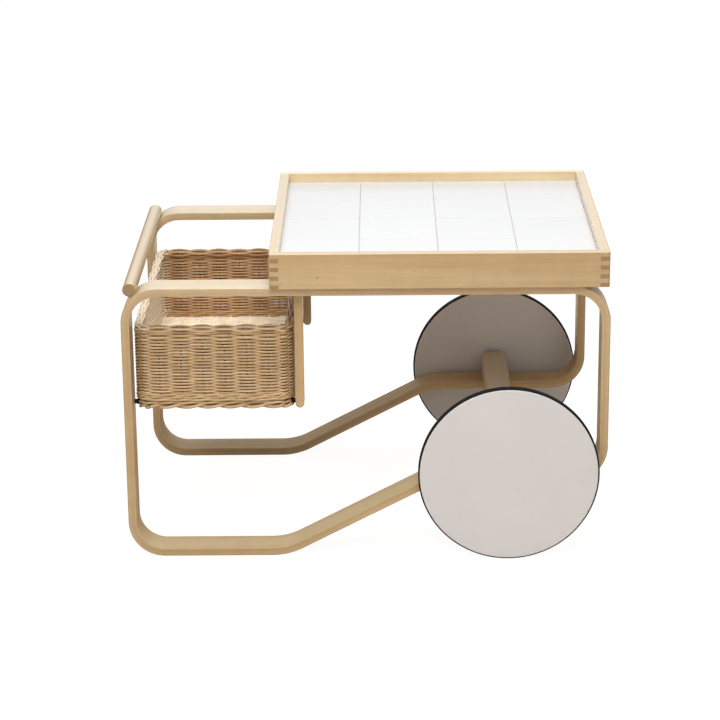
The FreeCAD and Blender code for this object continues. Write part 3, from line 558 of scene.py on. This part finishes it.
def rubber(name):
    """Matt black rubber, faintly dusty."""
    material, tree, shader = new_material(name)
    place = places(tree)["Object"]
    dust = noise(tree, place, *DUST_NOISE)
    pit = noise(tree, place, *PIT_NOISE)
    colour = mix(tree, remap(tree, dust, *DUST_RANGE, 0.0, DUST_SHARE), RUBBER_BLACK, RUBBER_DUSTY)
    plug(tree, shader, Base_Color=colour, Roughness=remap(tree, dust, *NOISE_CORE, *RUBBER_ROUGH),
         Normal=bump(tree, pit, *RUBBER_BUMP), Specular_IOR_Level=RUBBER_SPECULAR)
    return material


# Metals
STEEL = (0.56, 0.56, 0.57, 1.0)
ZINC = (0.62, 0.62, 0.60, 1.0)
BRASS = (0.72, 0.52, 0.22, 1.0)
TURNED_ROUGH = (0.25, 0.4)
PLATED_ROUGH = (0.35, 0.5)
MARK_NOISE = ((300.0, 2600.0, 300.0), 2.0)
SMEAR_NOISE = ((70.0, 70.0, 70.0), 2.0)
SMEAR_GAIN = (0.9, 1.05)
METAL_BUMP = (0.06, 0.2 * MM)


def metal(name, colour, rough):
    """Bare or plated metal with fine tool marks."""
    material, tree, shader = new_material(name)
    place = places(tree)["Object"]
    marks = noise(tree, place, *MARK_NOISE)
    smear = noise(tree, place, *SMEAR_NOISE)
    shade = toned(tree, colour, remap(tree, smear, *NOISE_CORE, *SMEAR_GAIN))
    plug(tree, shader, Base_Color=shade, Metallic=1.0, Roughness=remap(tree, marks, *NOISE_CORE, *rough),
         Normal=bump(tree, marks, *METAL_BUMP))
    return material


# Meshes


class Gather:
    """Rings of points gathered into one mesh, with grain coordinates, a tone and a share of painted edge
    shade at each.
    """

    def __init__(self):
        self.points = []
        self.grain = []
        self.tone = []
        self.edge_shade = []
        self.faces = []
        self.count = 0

    def sweep(self, rings, grain, tone=0.5, edge_shade=0.0, closed=False, capped=False):
        """Skin a row of rings, an array of rings by sides by three."""
        length, sides = rings.shape[:2]
        index = np.arange(length * sides).reshape(length, sides) + self.count
        low = index if closed else index[:-1]
        high = np.roll(index, -1, axis=0) if closed else index[1:]
        quads = np.stack([low, np.roll(low, -1, axis=1), np.roll(high, -1, axis=1), high], axis=-1)
        self.faces += quads.reshape(-1, 4).tolist()
        if capped:
            self.faces.append(index[0].tolist())
            self.faces.append(index[-1].tolist())
        self.points.append(rings.reshape(-1, 3))
        self.grain.append(grain.reshape(-1, 3))
        tones = np.broadcast_to(np.asarray(tone, float).reshape(-1, 1), (length, sides))
        self.tone.append(tones.reshape(-1))
        self.edge_shade.append(np.broadcast_to(np.asarray(edge_shade, float), (length, sides)).reshape(-1))
        self.count += length * sides

    def piece(self, name, material, flat=True):
        """The gathered mesh as an object, with its faces turned outwards."""
        mesh = bpy.data.meshes.new(name)
        mesh.from_pydata(np.concatenate(self.points).tolist(), [], self.faces)
        work = bmesh.new()
        work.from_mesh(mesh)
        bmesh.ops.recalc_face_normals(work, faces=work.faces)
        work.to_mesh(mesh)
        work.free()
        held = mesh.attributes.new("grain", "FLOAT_VECTOR", "POINT")
        held.data.foreach_set("vector", np.concatenate(self.grain).ravel())
        for label, values in (("tone", self.tone), ("edge_shade", self.edge_shade)):
            held = mesh.attributes.new(label, "FLOAT", "POINT")
            held.data.foreach_set("value", np.concatenate(values))
        return finish_piece(name, mesh, material, flat)


def finish_piece(name, mesh, material, flat=True):
    """An object with smooth faces that break at sharp edges, where large flat faces stay flat."""
    mesh.polygons.foreach_set("use_smooth", [True] * len(mesh.polygons))
    mesh.set_sharp_from_angle(angle=CREASE)
    mesh.materials.append(material)
    made = bpy.data.objects.new(name, mesh)
    bpy.context.scene.collection.objects.link(made)
    if flat:
        evened = made.modifiers.new("flat_faces", "WEIGHTED_NORMAL")
        evened.weight = FLAT_WEIGHT
        evened.keep_sharp = True
    return made


def settle(made, body, slot, *nodes):
    """Tie a piece to its body and hide the nodes that it stands for; slot is not used."""
    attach(made, body)
    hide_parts(*nodes)


def rounded_rectangle(width, height, radius):
    """Points round a rectangle with rounded corners, about its middle."""
    points = []
    for quarter, (sx, sy) in enumerate(((1, 1), (-1, 1), (-1, -1), (1, -1))):
        for step in range(CORNER_STEPS + 1):
            angle = math.pi / 2 * (quarter + step / CORNER_STEPS)
            points.append((sx * (width / 2 - radius) + radius * math.cos(angle),
                           sy * (height / 2 - radius) + radius * math.sin(angle)))
    return np.array(points)


def rounded_path(start, corners, radii):
    """Points, tangents and distances along a path that bends round corners and comes back to its start."""
    start = np.array(start)
    corners = [np.array(corner) for corner in corners]
    spots = [start] + corners + [start]
    points = [start]
    headings = []
    for before, corner, after, radius in zip(spots, spots[1:], spots[2:], radii):
        coming = (corner - before) / np.linalg.norm(corner - before)
        going = (after - corner) / np.linalg.norm(after - corner)
        turn = math.atan2(coming[0] * going[1] - coming[1] * going[0], coming @ going)
        side = math.copysign(1, turn)
        first = corner - coming * radius * math.tan(abs(turn) / 2)
        centre = first + side * radius * np.array([-coming[1], coming[0]])
        if not headings:
            headings.append(coming)
        for share in np.linspace(0, 1, math.ceil(abs(turn) / BEND_STEP) + 1):
            spin = share * turn
            turner = np.array([[math.cos(spin), -math.sin(spin)], [math.sin(spin), math.cos(spin)]])
            points.append(centre + turner @ (first - centre))
            headings.append(turner @ coming)
    points.append(start)
    headings.append(headings[0])
    points = np.array(points)
    gaps = np.linalg.norm(np.diff(points, axis=0), axis=1)
    return points, np.array(headings), np.concatenate([[0], np.cumsum(gaps)])


def make_frame(side, material):
    """One side frame: a laminated strip bent into a closed loop."""
    low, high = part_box(f"side_frame_{side}")
    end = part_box(f"wheel_bend_{side}")[1].x
    half = STRIP_THICK / 2
    left, right = low.x + half, end - half
    foot, top = low.z + half, high.z - half
    corners = [(left, top), (left, foot), (FOOT_CORNER, foot),
               (SLOPE_CORNER, RUN_MID), (right, RUN_MID), (right, top)]
    radii = [BEND_RADIUS, BEND_RADIUS, SLOPE_RADIUS, SLOPE_RADIUS, BEND_RADIUS, BEND_RADIUS]
    points, headings, along = rounded_path((SEAM_X, top), corners, radii)
    section = rounded_rectangle(high.y - low.y, STRIP_THICK, STRIP_EASE)
    out = np.stack([headings[:, 1], -headings[:, 0]], axis=1)
    middle = (low.y + high.y) / 2
    spread = points[:, None, :] + out[:, None, :] * section[None, :, 1:]
    wide = np.broadcast_to(section[None, :, 0] + middle, spread.shape[:2])
    rings = np.stack([spread[..., 0], wide, spread[..., 1]], axis=-1)
    grain = np.stack([np.broadcast_to(along[:, None], wide.shape), wide,
                      np.broadcast_to(section[None, :, 1], wide.shape)], axis=-1)
    work = Gather()
    work.sweep(rings, grain)
    made = work.piece(f"bent_frame_{side}", material)
    settle(made, "trolley", "frame_birch", f"side_frame_{side}", f"wheel_bend_{side}")


def ring_about_y(radius, depth, segments):
    """A circle of points about the Y axis."""
    angles = np.linspace(0, 2 * math.pi, segments, endpoint=False)
    return np.stack([radius * np.cos(angles), np.full(segments, depth), radius * np.sin(angles)], axis=-1)


def lathe(name, profile, centre, material, segments, closed=False):
    """A turned piece about Y from a profile of radius and depth."""
    rings = np.array([ring_about_y(radius, depth, segments) for radius, depth in profile])
    grain = rings[..., [1, 0, 2]]
    work = Gather()
    work.sweep(rings + np.array(centre), grain, closed=closed, capped=not closed)
    return work.piece(name, material)


def arc(centre, radius, start, stop, steps=ARC_STEPS):
    """Points on an arc of a profile, angles in degrees."""
    return [(centre[0] + radius * math.cos(math.radians(a)), centre[1] + radius * math.sin(math.radians(a)))
            for a in np.linspace(start, stop, steps + 1)]


def make_handle(material):
    """The round handle with eased ends."""
    low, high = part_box("handle_bar")
    radius = (high.z - low.z) / 2
    half = (high.y - low.y) / 2
    turn = arc((radius - HANDLE_EASE, half - HANDLE_EASE), HANDLE_EASE, 90, 0)
    profile = turn + [(r, -y) for r, y in reversed(turn)]
    middle = (low + high) / 2
    made = lathe("handle_dowel", profile, middle, material, HANDLE_SEGMENTS)
    settle(made, "trolley", "birch", "handle_bar")


def make_wheel(side, face, tyre):
    """One disc wheel and its rubber strip."""
    sign = SIDES[side]
    low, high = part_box(f"wheel_disc_{side}")
    centre = ((low.x + high.x) / 2, sign * min(abs(low.y), abs(high.y)), (low.z + high.z) / 2)
    thick = high.y - low.y
    radius = (high.x - low.x) / 2
    tyre_low, tyre_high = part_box(f"tyre_{side}")
    crown = (tyre_high.x - tyre_low.x) / 2
    seat = radius - WHEEL_EASE
    profile = [(HUB_RADIUS, HUB_DEPTH), (HUB_RADIUS, 0)]
    profile += arc((radius - WHEEL_EASE, WHEEL_EASE), WHEEL_EASE, -90, 0)
    profile += [(radius, TYRE_LIP), (seat, TYRE_LIP), (seat, thick - TYRE_LIP), (radius, thick - TYRE_LIP)]
    profile += arc((radius - WHEEL_EASE, thick - WHEEL_EASE), WHEEL_EASE, 0, 90)
    profile += [(radius * share, thick) for share in FACE_RINGS]
    outline = [(r, sign * d) for r, d in profile]
    made = lathe(f"wheel_face_{side}", outline, centre, face, WHEEL_SEGMENTS)
    settle(made, f"wheel_{side}", "wheel_paint", f"wheel_disc_{side}")
    profile = [(seat, TYRE_LIP)]
    profile += arc((crown - TYRE_CROWN, TYRE_LIP + TYRE_CROWN), TYRE_CROWN, -90, 0)
    profile += arc((crown - TYRE_CROWN, thick - TYRE_LIP - TYRE_CROWN), TYRE_CROWN, 0, 90)
    profile += [(seat, thick - TYRE_LIP)]
    outline = [(r, sign * d) for r, d in profile]
    made = lathe(f"wheel_rubber_{side}", outline, centre, tyre, WHEEL_SEGMENTS, closed=True)
    settle(made, f"wheel_{side}", "tyre_rubber", f"tyre_{side}")


def eased_block(name, outline, low, high, ease, material, steps=BEVEL_STEPS):
    """A block with an outline in X and Z, from low to high in Y, and eased edges."""
    work = bmesh.new()
    face = work.faces.new([work.verts.new((x, low, z)) for x, z in outline])
    pushed = bmesh.ops.extrude_face_region(work, geom=[face])["geom"]
    moved = [item for item in pushed if isinstance(item, bmesh.types.BMVert)]
    bmesh.ops.translate(work, verts=moved, vec=(0, high - low, 0))
    bmesh.ops.recalc_face_normals(work, faces=work.faces)
    sharp = [edge for edge in work.edges if edge.calc_face_angle() > BEVEL_OVER]
    bmesh.ops.bevel(work, geom=sharp, offset=ease, segments=steps, profile=BEVEL_PROFILE, affect="EDGES")
    mesh = bpy.data.meshes.new(name)
    work.to_mesh(mesh)
    work.free()
    return finish_piece(name, mesh, material)


def make_post(side, material):
    """A hanging post with a round lower end."""
    low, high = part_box(f"basket_post_{side}")
    radius = (high.x - low.x) / 2
    middle = (low.x + high.x) / 2
    outline = [(high.x, high.z), (low.x, high.z)]
    outline += arc((middle, low.z + radius), radius, 180, 360, POST_STEPS)
    made = eased_block(f"hanging_post_{side}", outline, low.y, high.y, POST_EASE, material)
    settle(made, "trolley", "birch", f"basket_post_{side}")


def make_tile(name, material):
    """One glazed tile with soft edges."""
    low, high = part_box(name)
    outline = [(low.x, low.z), (high.x, low.z), (high.x, high.z), (low.x, high.z)]
    made = eased_block(f"glazed_{name}", outline, low.y, high.y, TILE_EASE, material, TILE_STEPS)
    settle(made, "trolley", "tile_glaze", name)


# The woven basket


rim_low, rim_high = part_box("basket_rim")
wall_low, wall_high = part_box("basket_walls")
border_low, border_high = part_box("basket_border")
floor_low, floor_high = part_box("basket_floor")
basket_mid = (rim_low + rim_high) / 2
loop_half = np.array(wall_high - wall_low)[:2] / 2 - WALL_THICK / 2
roll_mid = (rim_low.z + rim_high.z) / 2
roll_half = (rim_high.z - rim_low.z) / 2
roll_swell = (rim_high.x - rim_low.x) / 2 - roll_half - loop_half[0]
border_swell = (border_high.x - border_low.x) / 2 - roll_half - loop_half[0]
loop_count = np.linspace(0, STAKES, STAKES * POINTS_PER_STAKE + 1)
weave = loop_count - 0.5


def basket_loop(count, swell=0.0):
    """Points and outward normals at counts of stakes round the middle line of the walls, swollen outwards."""
    half = loop_half + swell
    radius = WALL_BEND + swell
    flat = 2 * (half - radius)
    count = np.asarray(count) % STAKES
    stretch = np.searchsorted(STRETCH_STARTS, count, side="right") - 1
    share = (count - STRETCH_STARTS[stretch]) / STRETCH_STAKES[stretch]
    wall = stretch // 2
    curved = stretch % 2 == 1
    facing = math.pi / 2 * (wall - 1)
    angle = facing + np.where(curved, share * math.pi / 2, 0)
    normal = np.stack([np.cos(angle), np.sin(angle)], axis=-1)
    ahead = np.stack([-np.sin(facing), np.cos(facing)], axis=-1)
    signs = np.array([(1, -1), (1, 1), (-1, 1), (-1, -1)])[wall]
    back = np.where(curved, 0, flat[wall % 2] * (1 - share))
    point = signs * (half - radius) + normal * radius - ahead * back[..., None]
    return point + np.array([basket_mid.x, basket_mid.y]), normal


def wobble(size):
    """A slow closed wave of random phase round the basket."""
    phases = rng.uniform(0, 2 * math.pi, 2)
    turn = 2 * math.pi * loop_count / STAKES
    slow, quick = WOBBLE_WAVES
    return size * (np.sin(slow * turn + phases[0]) + WOBBLE_SHARE * np.sin(quick * turn + phases[1]))


def corner_lift(height):
    """How far a row near the foot rises towards the corners."""
    point, _ = basket_loop(loop_count)
    away = np.abs(np.abs(point - np.array([basket_mid.x, basket_mid.y])) - loop_half)
    near = np.clip(1 - away.sum(axis=1) / CORNER_REACH, 0, 1)
    fade = max(0.0, 1 - (height - wall_low.z) / LIFT_HEIGHT)
    return CORNER_LIFT * fade * near ** 2


def strand_tones():
    """The tones of a row made of two rods, which change where one follows the other."""
    first, second = rng.uniform(*TONE_SPREAD, 2)
    return np.where(loop_count < rng.uniform() * STAKES, first, second)


def tube(work, centres, out, wide, thin, tone, capped=False):
    """Skin a strand along centres; wide is its half width, thin its half thickness along out."""
    heading = np.gradient(centres, axis=0)
    heading /= np.linalg.norm(heading, axis=1, keepdims=True)
    across = np.cross(heading, out)
    across /= np.linalg.norm(across, axis=1, keepdims=True)
    lift = np.cross(across, heading)
    angles = np.linspace(0, 2 * math.pi, STRAND_SIDES, endpoint=False)
    side = np.cos(angles)[None, :, None] * np.reshape(wide, (-1, 1, 1))
    rise = np.sin(angles)[None, :, None] * np.reshape(thin, (-1, 1, 1))
    rings = centres[:, None, :] + across[:, None, :] * side + lift[:, None, :] * rise
    gaps = np.linalg.norm(np.diff(centres, axis=0), axis=1)
    along = np.concatenate([[0], np.cumsum(gaps)]) + rng.uniform(0, GRAIN_START)
    shape = rings.shape[:2]
    grain = np.stack([np.broadcast_to(along[:, None], shape),
                      np.broadcast_to(side[..., 0] + rng.uniform(0, GRAIN_SHIFT), shape),
                      np.broadcast_to(rise[..., 0], shape)], axis=-1)
    # The edge share for painted shade grows towards the two edges of the strand's width
    work.sweep(rings, grain, tone, np.abs(np.cos(angles)), capped=capped)


def row(work, swing, height, swell, lean, wide, thin, tone):
    """One strand round the basket; lean is the direction of its swing, as outward and upward shares."""
    point, normal = basket_loop(loop_count, swell)
    flat = point + normal * (swing * lean[0])[:, None]
    centres = np.column_stack([flat, height + swing * lean[1]])
    out = np.column_stack([normal * lean[0], np.full(len(flat), lean[1])])
    tube(work, centres, out, wide, thin, tone)


def pressed(sizes):
    """The half size of a strand that is pressed from its size at a stake to its size between two."""
    at_stake = np.cos(math.pi * weave) ** 2
    return sizes[1] + (sizes[0] - sizes[1]) * at_stake


def side_of(level):
    """One for odd rows and minus one for even rows."""
    return 1 if level % 2 else -1


def swung(level, swing):
    """The swing of a row, in front of every second stake and behind the others."""
    return side_of(level) * swing * np.cos(math.pi * weave)


def plain_row(work, level, height, tall):
    """One row of plain weave."""
    lift = corner_lift(height) + wobble(WOBBLE)
    wide = rng.uniform(*SIZE_SPREAD) * pressed(tall)
    swing = swung(level, WEAVER_SWING)
    row(work, swing, height + lift, 0.0, OUTWARD, wide, pressed(WEAVER_DEEP), strand_tones())


def twisted_row(work, strands, start, height, swell, swing, rise, radius):
    """Strands wound round each other and past the stakes."""
    for strand in range(strands):
        turn = 2 * math.pi * (weave + strand + start) / strands
        level = height + rise * np.sin(turn)
        row(work, swing * np.cos(turn), level, swell, OUTWARD, radius, radius, strand_tones())


def core_row(work, height, swell, radius):
    """A dark rod inside the rim or the foot border."""
    still = np.zeros(len(weave))
    row(work, still, still + height, swell, OUTWARD, radius, radius, still + CORE_TONE)


def make_walls(material):
    """Stakes, woven rows and the waling at the foot of the walls."""
    work = Gather()
    for level in range(WALE_ROWS):
        height = wall_low.z + WALE_PITCH * (level + 0.5)
        lifted = height + corner_lift(height)
        turned = WALE_SHIFT * level
        twisted_row(work, WALE_STRANDS, turned, lifted, 0.0, WALE_SWING, WALE_RISE, WALE_RADIUS)
    low = wall_low.z + WALE_PITCH * WALE_ROWS
    high = wall_high.z - TOP_PITCH * (TOP_ROWS - 1)
    count = round((high - low) / WEAVER_PITCH)
    for level in range(count):
        plain_row(work, level, low + (high - low) * (level + 0.5) / count, WEAVER_TALL)
    for level in range(TOP_ROWS):
        plain_row(work, count + level, high + TOP_PITCH * (level + 0.5), TOP_TALL)
    for stake in range(STAKES):
        make_stake(work, stake + 0.5)
    made = work.piece("woven_walls", material, flat=False)
    settle(made, "trolley", "wicker", "basket_walls")


def make_stake(work, count):
    """One stake up the wall and round the roll of the rim."""
    heights = np.linspace(wall_low.z, wall_high.z, STAKE_RINGS)
    angles = np.radians(np.linspace(*STAKE_CURL, CURL_RINGS))
    out = np.concatenate([np.zeros(len(heights)), roll_swell + ROLL_RADIUS * np.cos(angles)])
    up = np.concatenate([heights, roll_mid + ROLL_RADIUS * np.sin(angles)])
    spot, normal = basket_loop(np.array([count]))
    centres = np.column_stack([spot + normal * out[:, None], up])
    ahead = np.array([-normal[0, 1], normal[0, 0], 0])
    # Dark below the top rows as painted shade, and a willow tone in the top rows
    tones = np.where(up < wall_high.z - TOP_PITCH * TOP_ROWS, STAKE_SHADE_TONE, rng.uniform(*TONE_SPREAD))
    tube(work, centres, ahead, STAKE_RADIUS, STAKE_WIDE, tones, capped=True)


def make_rim(material):
    """The rolled rim: woven rows round a core."""
    work = Gather()
    for level in range(ROLL_ROWS):
        angle = ROLL_FIRST + ROLL_STEP * level
        lean = (math.cos(angle), math.sin(angle))
        swing = swung(level, ROLL_SWING)
        height = roll_mid + ROLL_RADIUS * lean[1] + wobble(ROLL_WOBBLE)
        swell = roll_swell + ROLL_RADIUS * lean[0]
        size = ROLL_STRAND * rng.uniform(*SIZE_SPREAD)
        row(work, swing, height, swell, lean, size, size, strand_tones())
    core_row(work, roll_mid, roll_swell, ROLL_CORE)
    made = work.piece("woven_rim", material, flat=False)
    settle(made, "trolley", "wicker", "basket_rim")


def make_border(material):
    """The foot border: a stout twist below a lighter one."""
    work = Gather()
    lower = border_low.z + BORDER_RADIUS + BORDER_RISE
    twisted_row(work, BORDER_STRANDS, BORDER_START, lower, border_swell,
                BORDER_SWING, BORDER_RISE, BORDER_RADIUS)
    core_row(work, lower, border_swell, BORDER_RADIUS)
    upper = border_high.z - BORDER_UPPER - WALE_RISE
    twisted_row(work, WALE_STRANDS, BORDER_UPPER_START, upper, border_swell,
                BORDER_UPPER_SWING, WALE_RISE, BORDER_UPPER)
    made = work.piece("woven_border", material, flat=False)
    settle(made, "trolley", "wicker", "basket_border")


def make_floor(material):
    """The basket's floor: flat strands over sticks."""
    work = Gather()
    middle = (floor_low.z + floor_high.z) / 2
    spacing = (floor_high.x - floor_low.x) / FLOOR_STICKS
    straight = (floor_high.y - floor_low.y) / 2 - FLOOR_CORNER
    margin = FLOOR_WIDE + FLOOR_WAVE
    ys = np.arange(floor_low.y + margin, floor_high.y - margin, FLOOR_PITCH)
    up = np.array([0.0, 0.0, 1.0])
    for count, y in enumerate(ys):
        bent = max(abs(y - basket_mid.y) - straight, 0)
        inset = FLOOR_CORNER - math.sqrt(FLOOR_CORNER ** 2 - bent ** 2)
        xs = np.linspace(floor_low.x + inset, floor_high.x - inset, FLOOR_STICKS * POINTS_PER_STAKE + 1)
        wave = FLOOR_WAVE * np.cos(2 * math.pi * (xs - floor_low.x) / spacing)
        swing = side_of(count) * FLOOR_SWING * np.cos(math.pi * ((xs - floor_low.x) / spacing - 0.5))
        centres = np.column_stack([xs, y + wave, middle + swing])
        tube(work, centres, up, FLOOR_WIDE, FLOOR_THIN, rng.uniform(*FLOOR_TONES), capped=True)
    ys = np.linspace(floor_low.y, floor_high.y, STICK_POINTS)
    for stick in range(FLOOR_STICKS):
        x = floor_low.x + spacing * (stick + 0.5)
        centres = np.column_stack([np.full(STICK_POINTS, x), ys, np.full(STICK_POINTS, middle)])
        tube(work, centres, up, STICK_WIDE, FLOOR_THIN, rng.uniform(*STICK_TONES), capped=True)
    made = work.piece("woven_floor", material, flat=False)
    settle(made, "trolley", "wicker", "basket_floor")


# Dress the trolley: where in the grain each wood is cut
HANDLE_CUT = (0.3, 1.1, 0.4)
POST_CUT = (3.1, 0.2, 1.4)
LONG_CUT = (1.7, 2.3, 0.9)
CROSS_CUT = (2.6, 0.7, 1.9)
REAR_CUT = (2.1, 1.3, 0.4)

# Polish, painted shade along strand edges and painted light on handle-side faces of each willow, as shares of
# one
WALL_POLISH = 0.2
WALL_EDGE_SHADE = 0.75
WALL_LIT = 0.7
RIM_POLISH = 0.4
RIM_EDGE_SHADE = 0.9
RIM_LIT = 0.85
SPLIT_POLISH = 0.2
SPLIT_EDGE_SHADE = 0.2


def dress(material, *names):
    """Give carried-over nodes a material."""
    for name in names:
        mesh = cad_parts[name].data
        mesh.materials.clear()
        mesh.materials.append(material)


frame_wood = bent_birch("bent_birch")
for frame_side in SIDES:
    make_frame(frame_side, frame_wood)
make_handle(birch("handle_birch", "Y", HANDLE_CUT))
post_wood = birch("post_birch", "Z", POST_CUT)
for post_side in SIDES:
    make_post(post_side, post_wood)
long_wood = birch("board_birch_long", "X", LONG_CUT)
cross_wood = birch("board_birch_cross", "Y", CROSS_CUT)
dress(long_wood, "tray_front_board", "tray_batten_near", "tray_batten_far", "tray_panel")
# The rear board gets painted light: its wood is tinted paler and bluer
dress(birch("board_birch_lit", "X", REAR_CUT, REAR_LIT_TINT), "tray_rear_board")
dress(cross_wood, "tray_left_board", "tray_right_board", "axle_beam")
tile_glaze = glaze("white_glaze")
for line in range(1, TILE_LINES + 1):
    for column in range(1, TILE_LINES + 1):
        make_tile(f"tile_{line}_{column}", tile_glaze)
dress(grout("joint_grout", *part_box("tile_grout")), "tile_grout")
wheel_paint = paint("wheel_paint")
tyre_rubber = rubber("tyre_rubber")
for wheel_side in SIDES:
    make_wheel(wheel_side, wheel_paint, tyre_rubber)
willow = wicker("peeled_willow", WICKER_PALE, WICKER_GOLD, WALL_POLISH, WALL_EDGE_SHADE, INSIDE_SHADE,
                sides=WALL_LIT)
rim_willow = wicker("polished_willow", WICKER_PALE, WICKER_GOLD, RIM_POLISH, RIM_EDGE_SHADE, INSIDE_SHADE,
                    tops=RIM_LIT, sides=RIM_LIT)
make_walls(willow)
make_rim(rim_willow)
make_border(willow)
make_floor(wicker("split_willow", SPLIT_PALE, SPLIT_GOLD, SPLIT_POLISH, SPLIT_EDGE_SHADE))
steel = metal("turned_steel", STEEL, TURNED_ROUGH)
zinc = metal("zinc_plate", ZINC, PLATED_ROUGH)
brass = metal("turned_brass", BRASS, TURNED_ROUGH)
dress(rubber("spacer_black"), "basket_spacers")
dress(steel, "axle")
dress(zinc, "handle_screws", "batten_screws", "post_screws", "beam_screws", "basket_screws")
for wheel_side in SIDES:
    dress(steel, f"axle_washer_{wheel_side}")
    dress(zinc, f"retaining_ring_{wheel_side}", f"bush_screws_{wheel_side}")
    dress(brass, f"hub_bush_{wheel_side}")

# Floor, light and camera

GROUND_HALF = 30.0
GROUND_GLOW = 0.94
GROUND_FAINT = (0.14, 0.14, 0.14, 1.0)
GROUND_BOUNCE = (0.80, 0.63, 0.48, 1.0)
WORLD_FILL = 0.40
BACKDROP_RISE = (0.18, 0.28)
LAMP_PLACES = {"key": (-0.4, -2.3, 3.08), "top": (0.25, -0.2, 3.0), "back": (-0.3, 3.2, 1.9)}
LAMP_SIZES = {"key": 2.2, "top": 1.6, "back": 2.6}
LAMP_POWERS = {"key": 86.0, "top": 44.0, "back": 8.0}
AIM = Vector((0.0, 0.0, 0.33))
CAMERA_PLACE = (0.0299, -4.585, 1.797)
CAMERA_LENS = 123.2
CAMERA_SENSOR = 36.0
CAMERA_PITCH = math.radians(18.23)
CAMERA_YAW = math.radians(0.54)
CAMERA_ROLL = math.radians(-0.57)


def seen_ray(tree):
    """Which rays come straight to the eye or are let through to it, and which are mirrored."""
    path = add(tree, "ShaderNodeLightPath").outputs
    straight = math_node(tree, "MAXIMUM", path["Is Camera Ray"], path["Is Transmission Ray"])
    return straight, path["Is Glossy Ray"]


def make_ground():
    """A white floor that keeps a faint shadow."""
    mesh = bpy.data.meshes.new("studio_floor")
    half = GROUND_HALF
    corners = [(-half, -half, 0), (half, -half, 0), (half, half, 0), (-half, half, 0)]
    mesh.from_pydata(corners, [], [range(len(corners))])
    material = bpy.data.materials.new("studio_white")
    material.use_nodes = True
    tree = material.node_tree
    tree.nodes.clear()
    plain = add(tree, "ShaderNodeBsdfDiffuse", {"Color": GROUND_BOUNCE}).outputs[0]
    faint = add(tree, "ShaderNodeBsdfDiffuse", {"Color": GROUND_FAINT}).outputs[0]
    glow = add(tree, "ShaderNodeEmission", {"Color": WHITE, "Strength": GROUND_GLOW}).outputs[0]
    shown = add(tree, "ShaderNodeAddShader", {0: faint, 1: glow}).outputs[0]
    both = add(tree, "ShaderNodeMixShader", {0: seen_ray(tree)[0], 1: plain, 2: shown}).outputs[0]
    add(tree, "ShaderNodeOutputMaterial", {"Surface": both})
    mesh.materials.append(material)
    ground = bpy.data.objects.new("studio_floor", mesh)
    bpy.context.scene.collection.objects.link(ground)


def make_world():
    """White to the eye and to mirrored rays that rise, and a low even fill for everything else."""
    world = bpy.data.worlds.new("studio")
    bpy.context.scene.world = world
    world.use_nodes = True
    tree = world.node_tree
    tree.nodes.clear()
    rise = parts(tree, places(tree)["Generated"])["Z"]
    straight, mirrored = seen_ray(tree)
    backdrop = math_node(tree, "MULTIPLY", mirrored, remap(tree, rise, *BACKDROP_RISE))
    shown = math_node(tree, "MAXIMUM", straight, backdrop)
    strength = remap(tree, shown, 0.0, 1.0, WORLD_FILL, 1.0)
    sky = add(tree, "ShaderNodeBackground", {"Color": WHITE, "Strength": strength}).outputs[0]
    add(tree, "ShaderNodeOutputWorld", {"Surface": sky})


def make_lamp(name, place):
    """A square soft lamp that faces the trolley."""
    light = bpy.data.lights.new(name, "AREA")
    light.size = LAMP_SIZES[name]
    light.energy = LAMP_POWERS[name]
    lamp = bpy.data.objects.new(name, light)
    lamp.location = place
    lamp.rotation_euler = (AIM - Vector(place)).to_track_quat("-Z", "Y").to_euler()
    bpy.context.scene.collection.objects.link(lamp)


def make_camera():
    """The photograph's point of view."""
    lens = bpy.data.cameras.new("view")
    lens.lens = CAMERA_LENS
    lens.sensor_width = CAMERA_SENSOR
    camera = bpy.data.objects.new("view", lens)
    camera.location = CAMERA_PLACE
    turn = Matrix.Rotation(CAMERA_YAW, 3, "Z") @ Matrix.Rotation(math.pi / 2 - CAMERA_PITCH, 3, "X")
    camera.rotation_euler = (turn @ Matrix.Rotation(CAMERA_ROLL, 3, "Z")).to_euler()
    bpy.context.scene.collection.objects.link(camera)
    bpy.context.scene.camera = camera


make_ground()
make_world()
for lamp_name, lamp_place in LAMP_PLACES.items():
    make_lamp(lamp_name, lamp_place)
make_camera()
bpy.context.scene.view_settings.view_transform = "Standard"
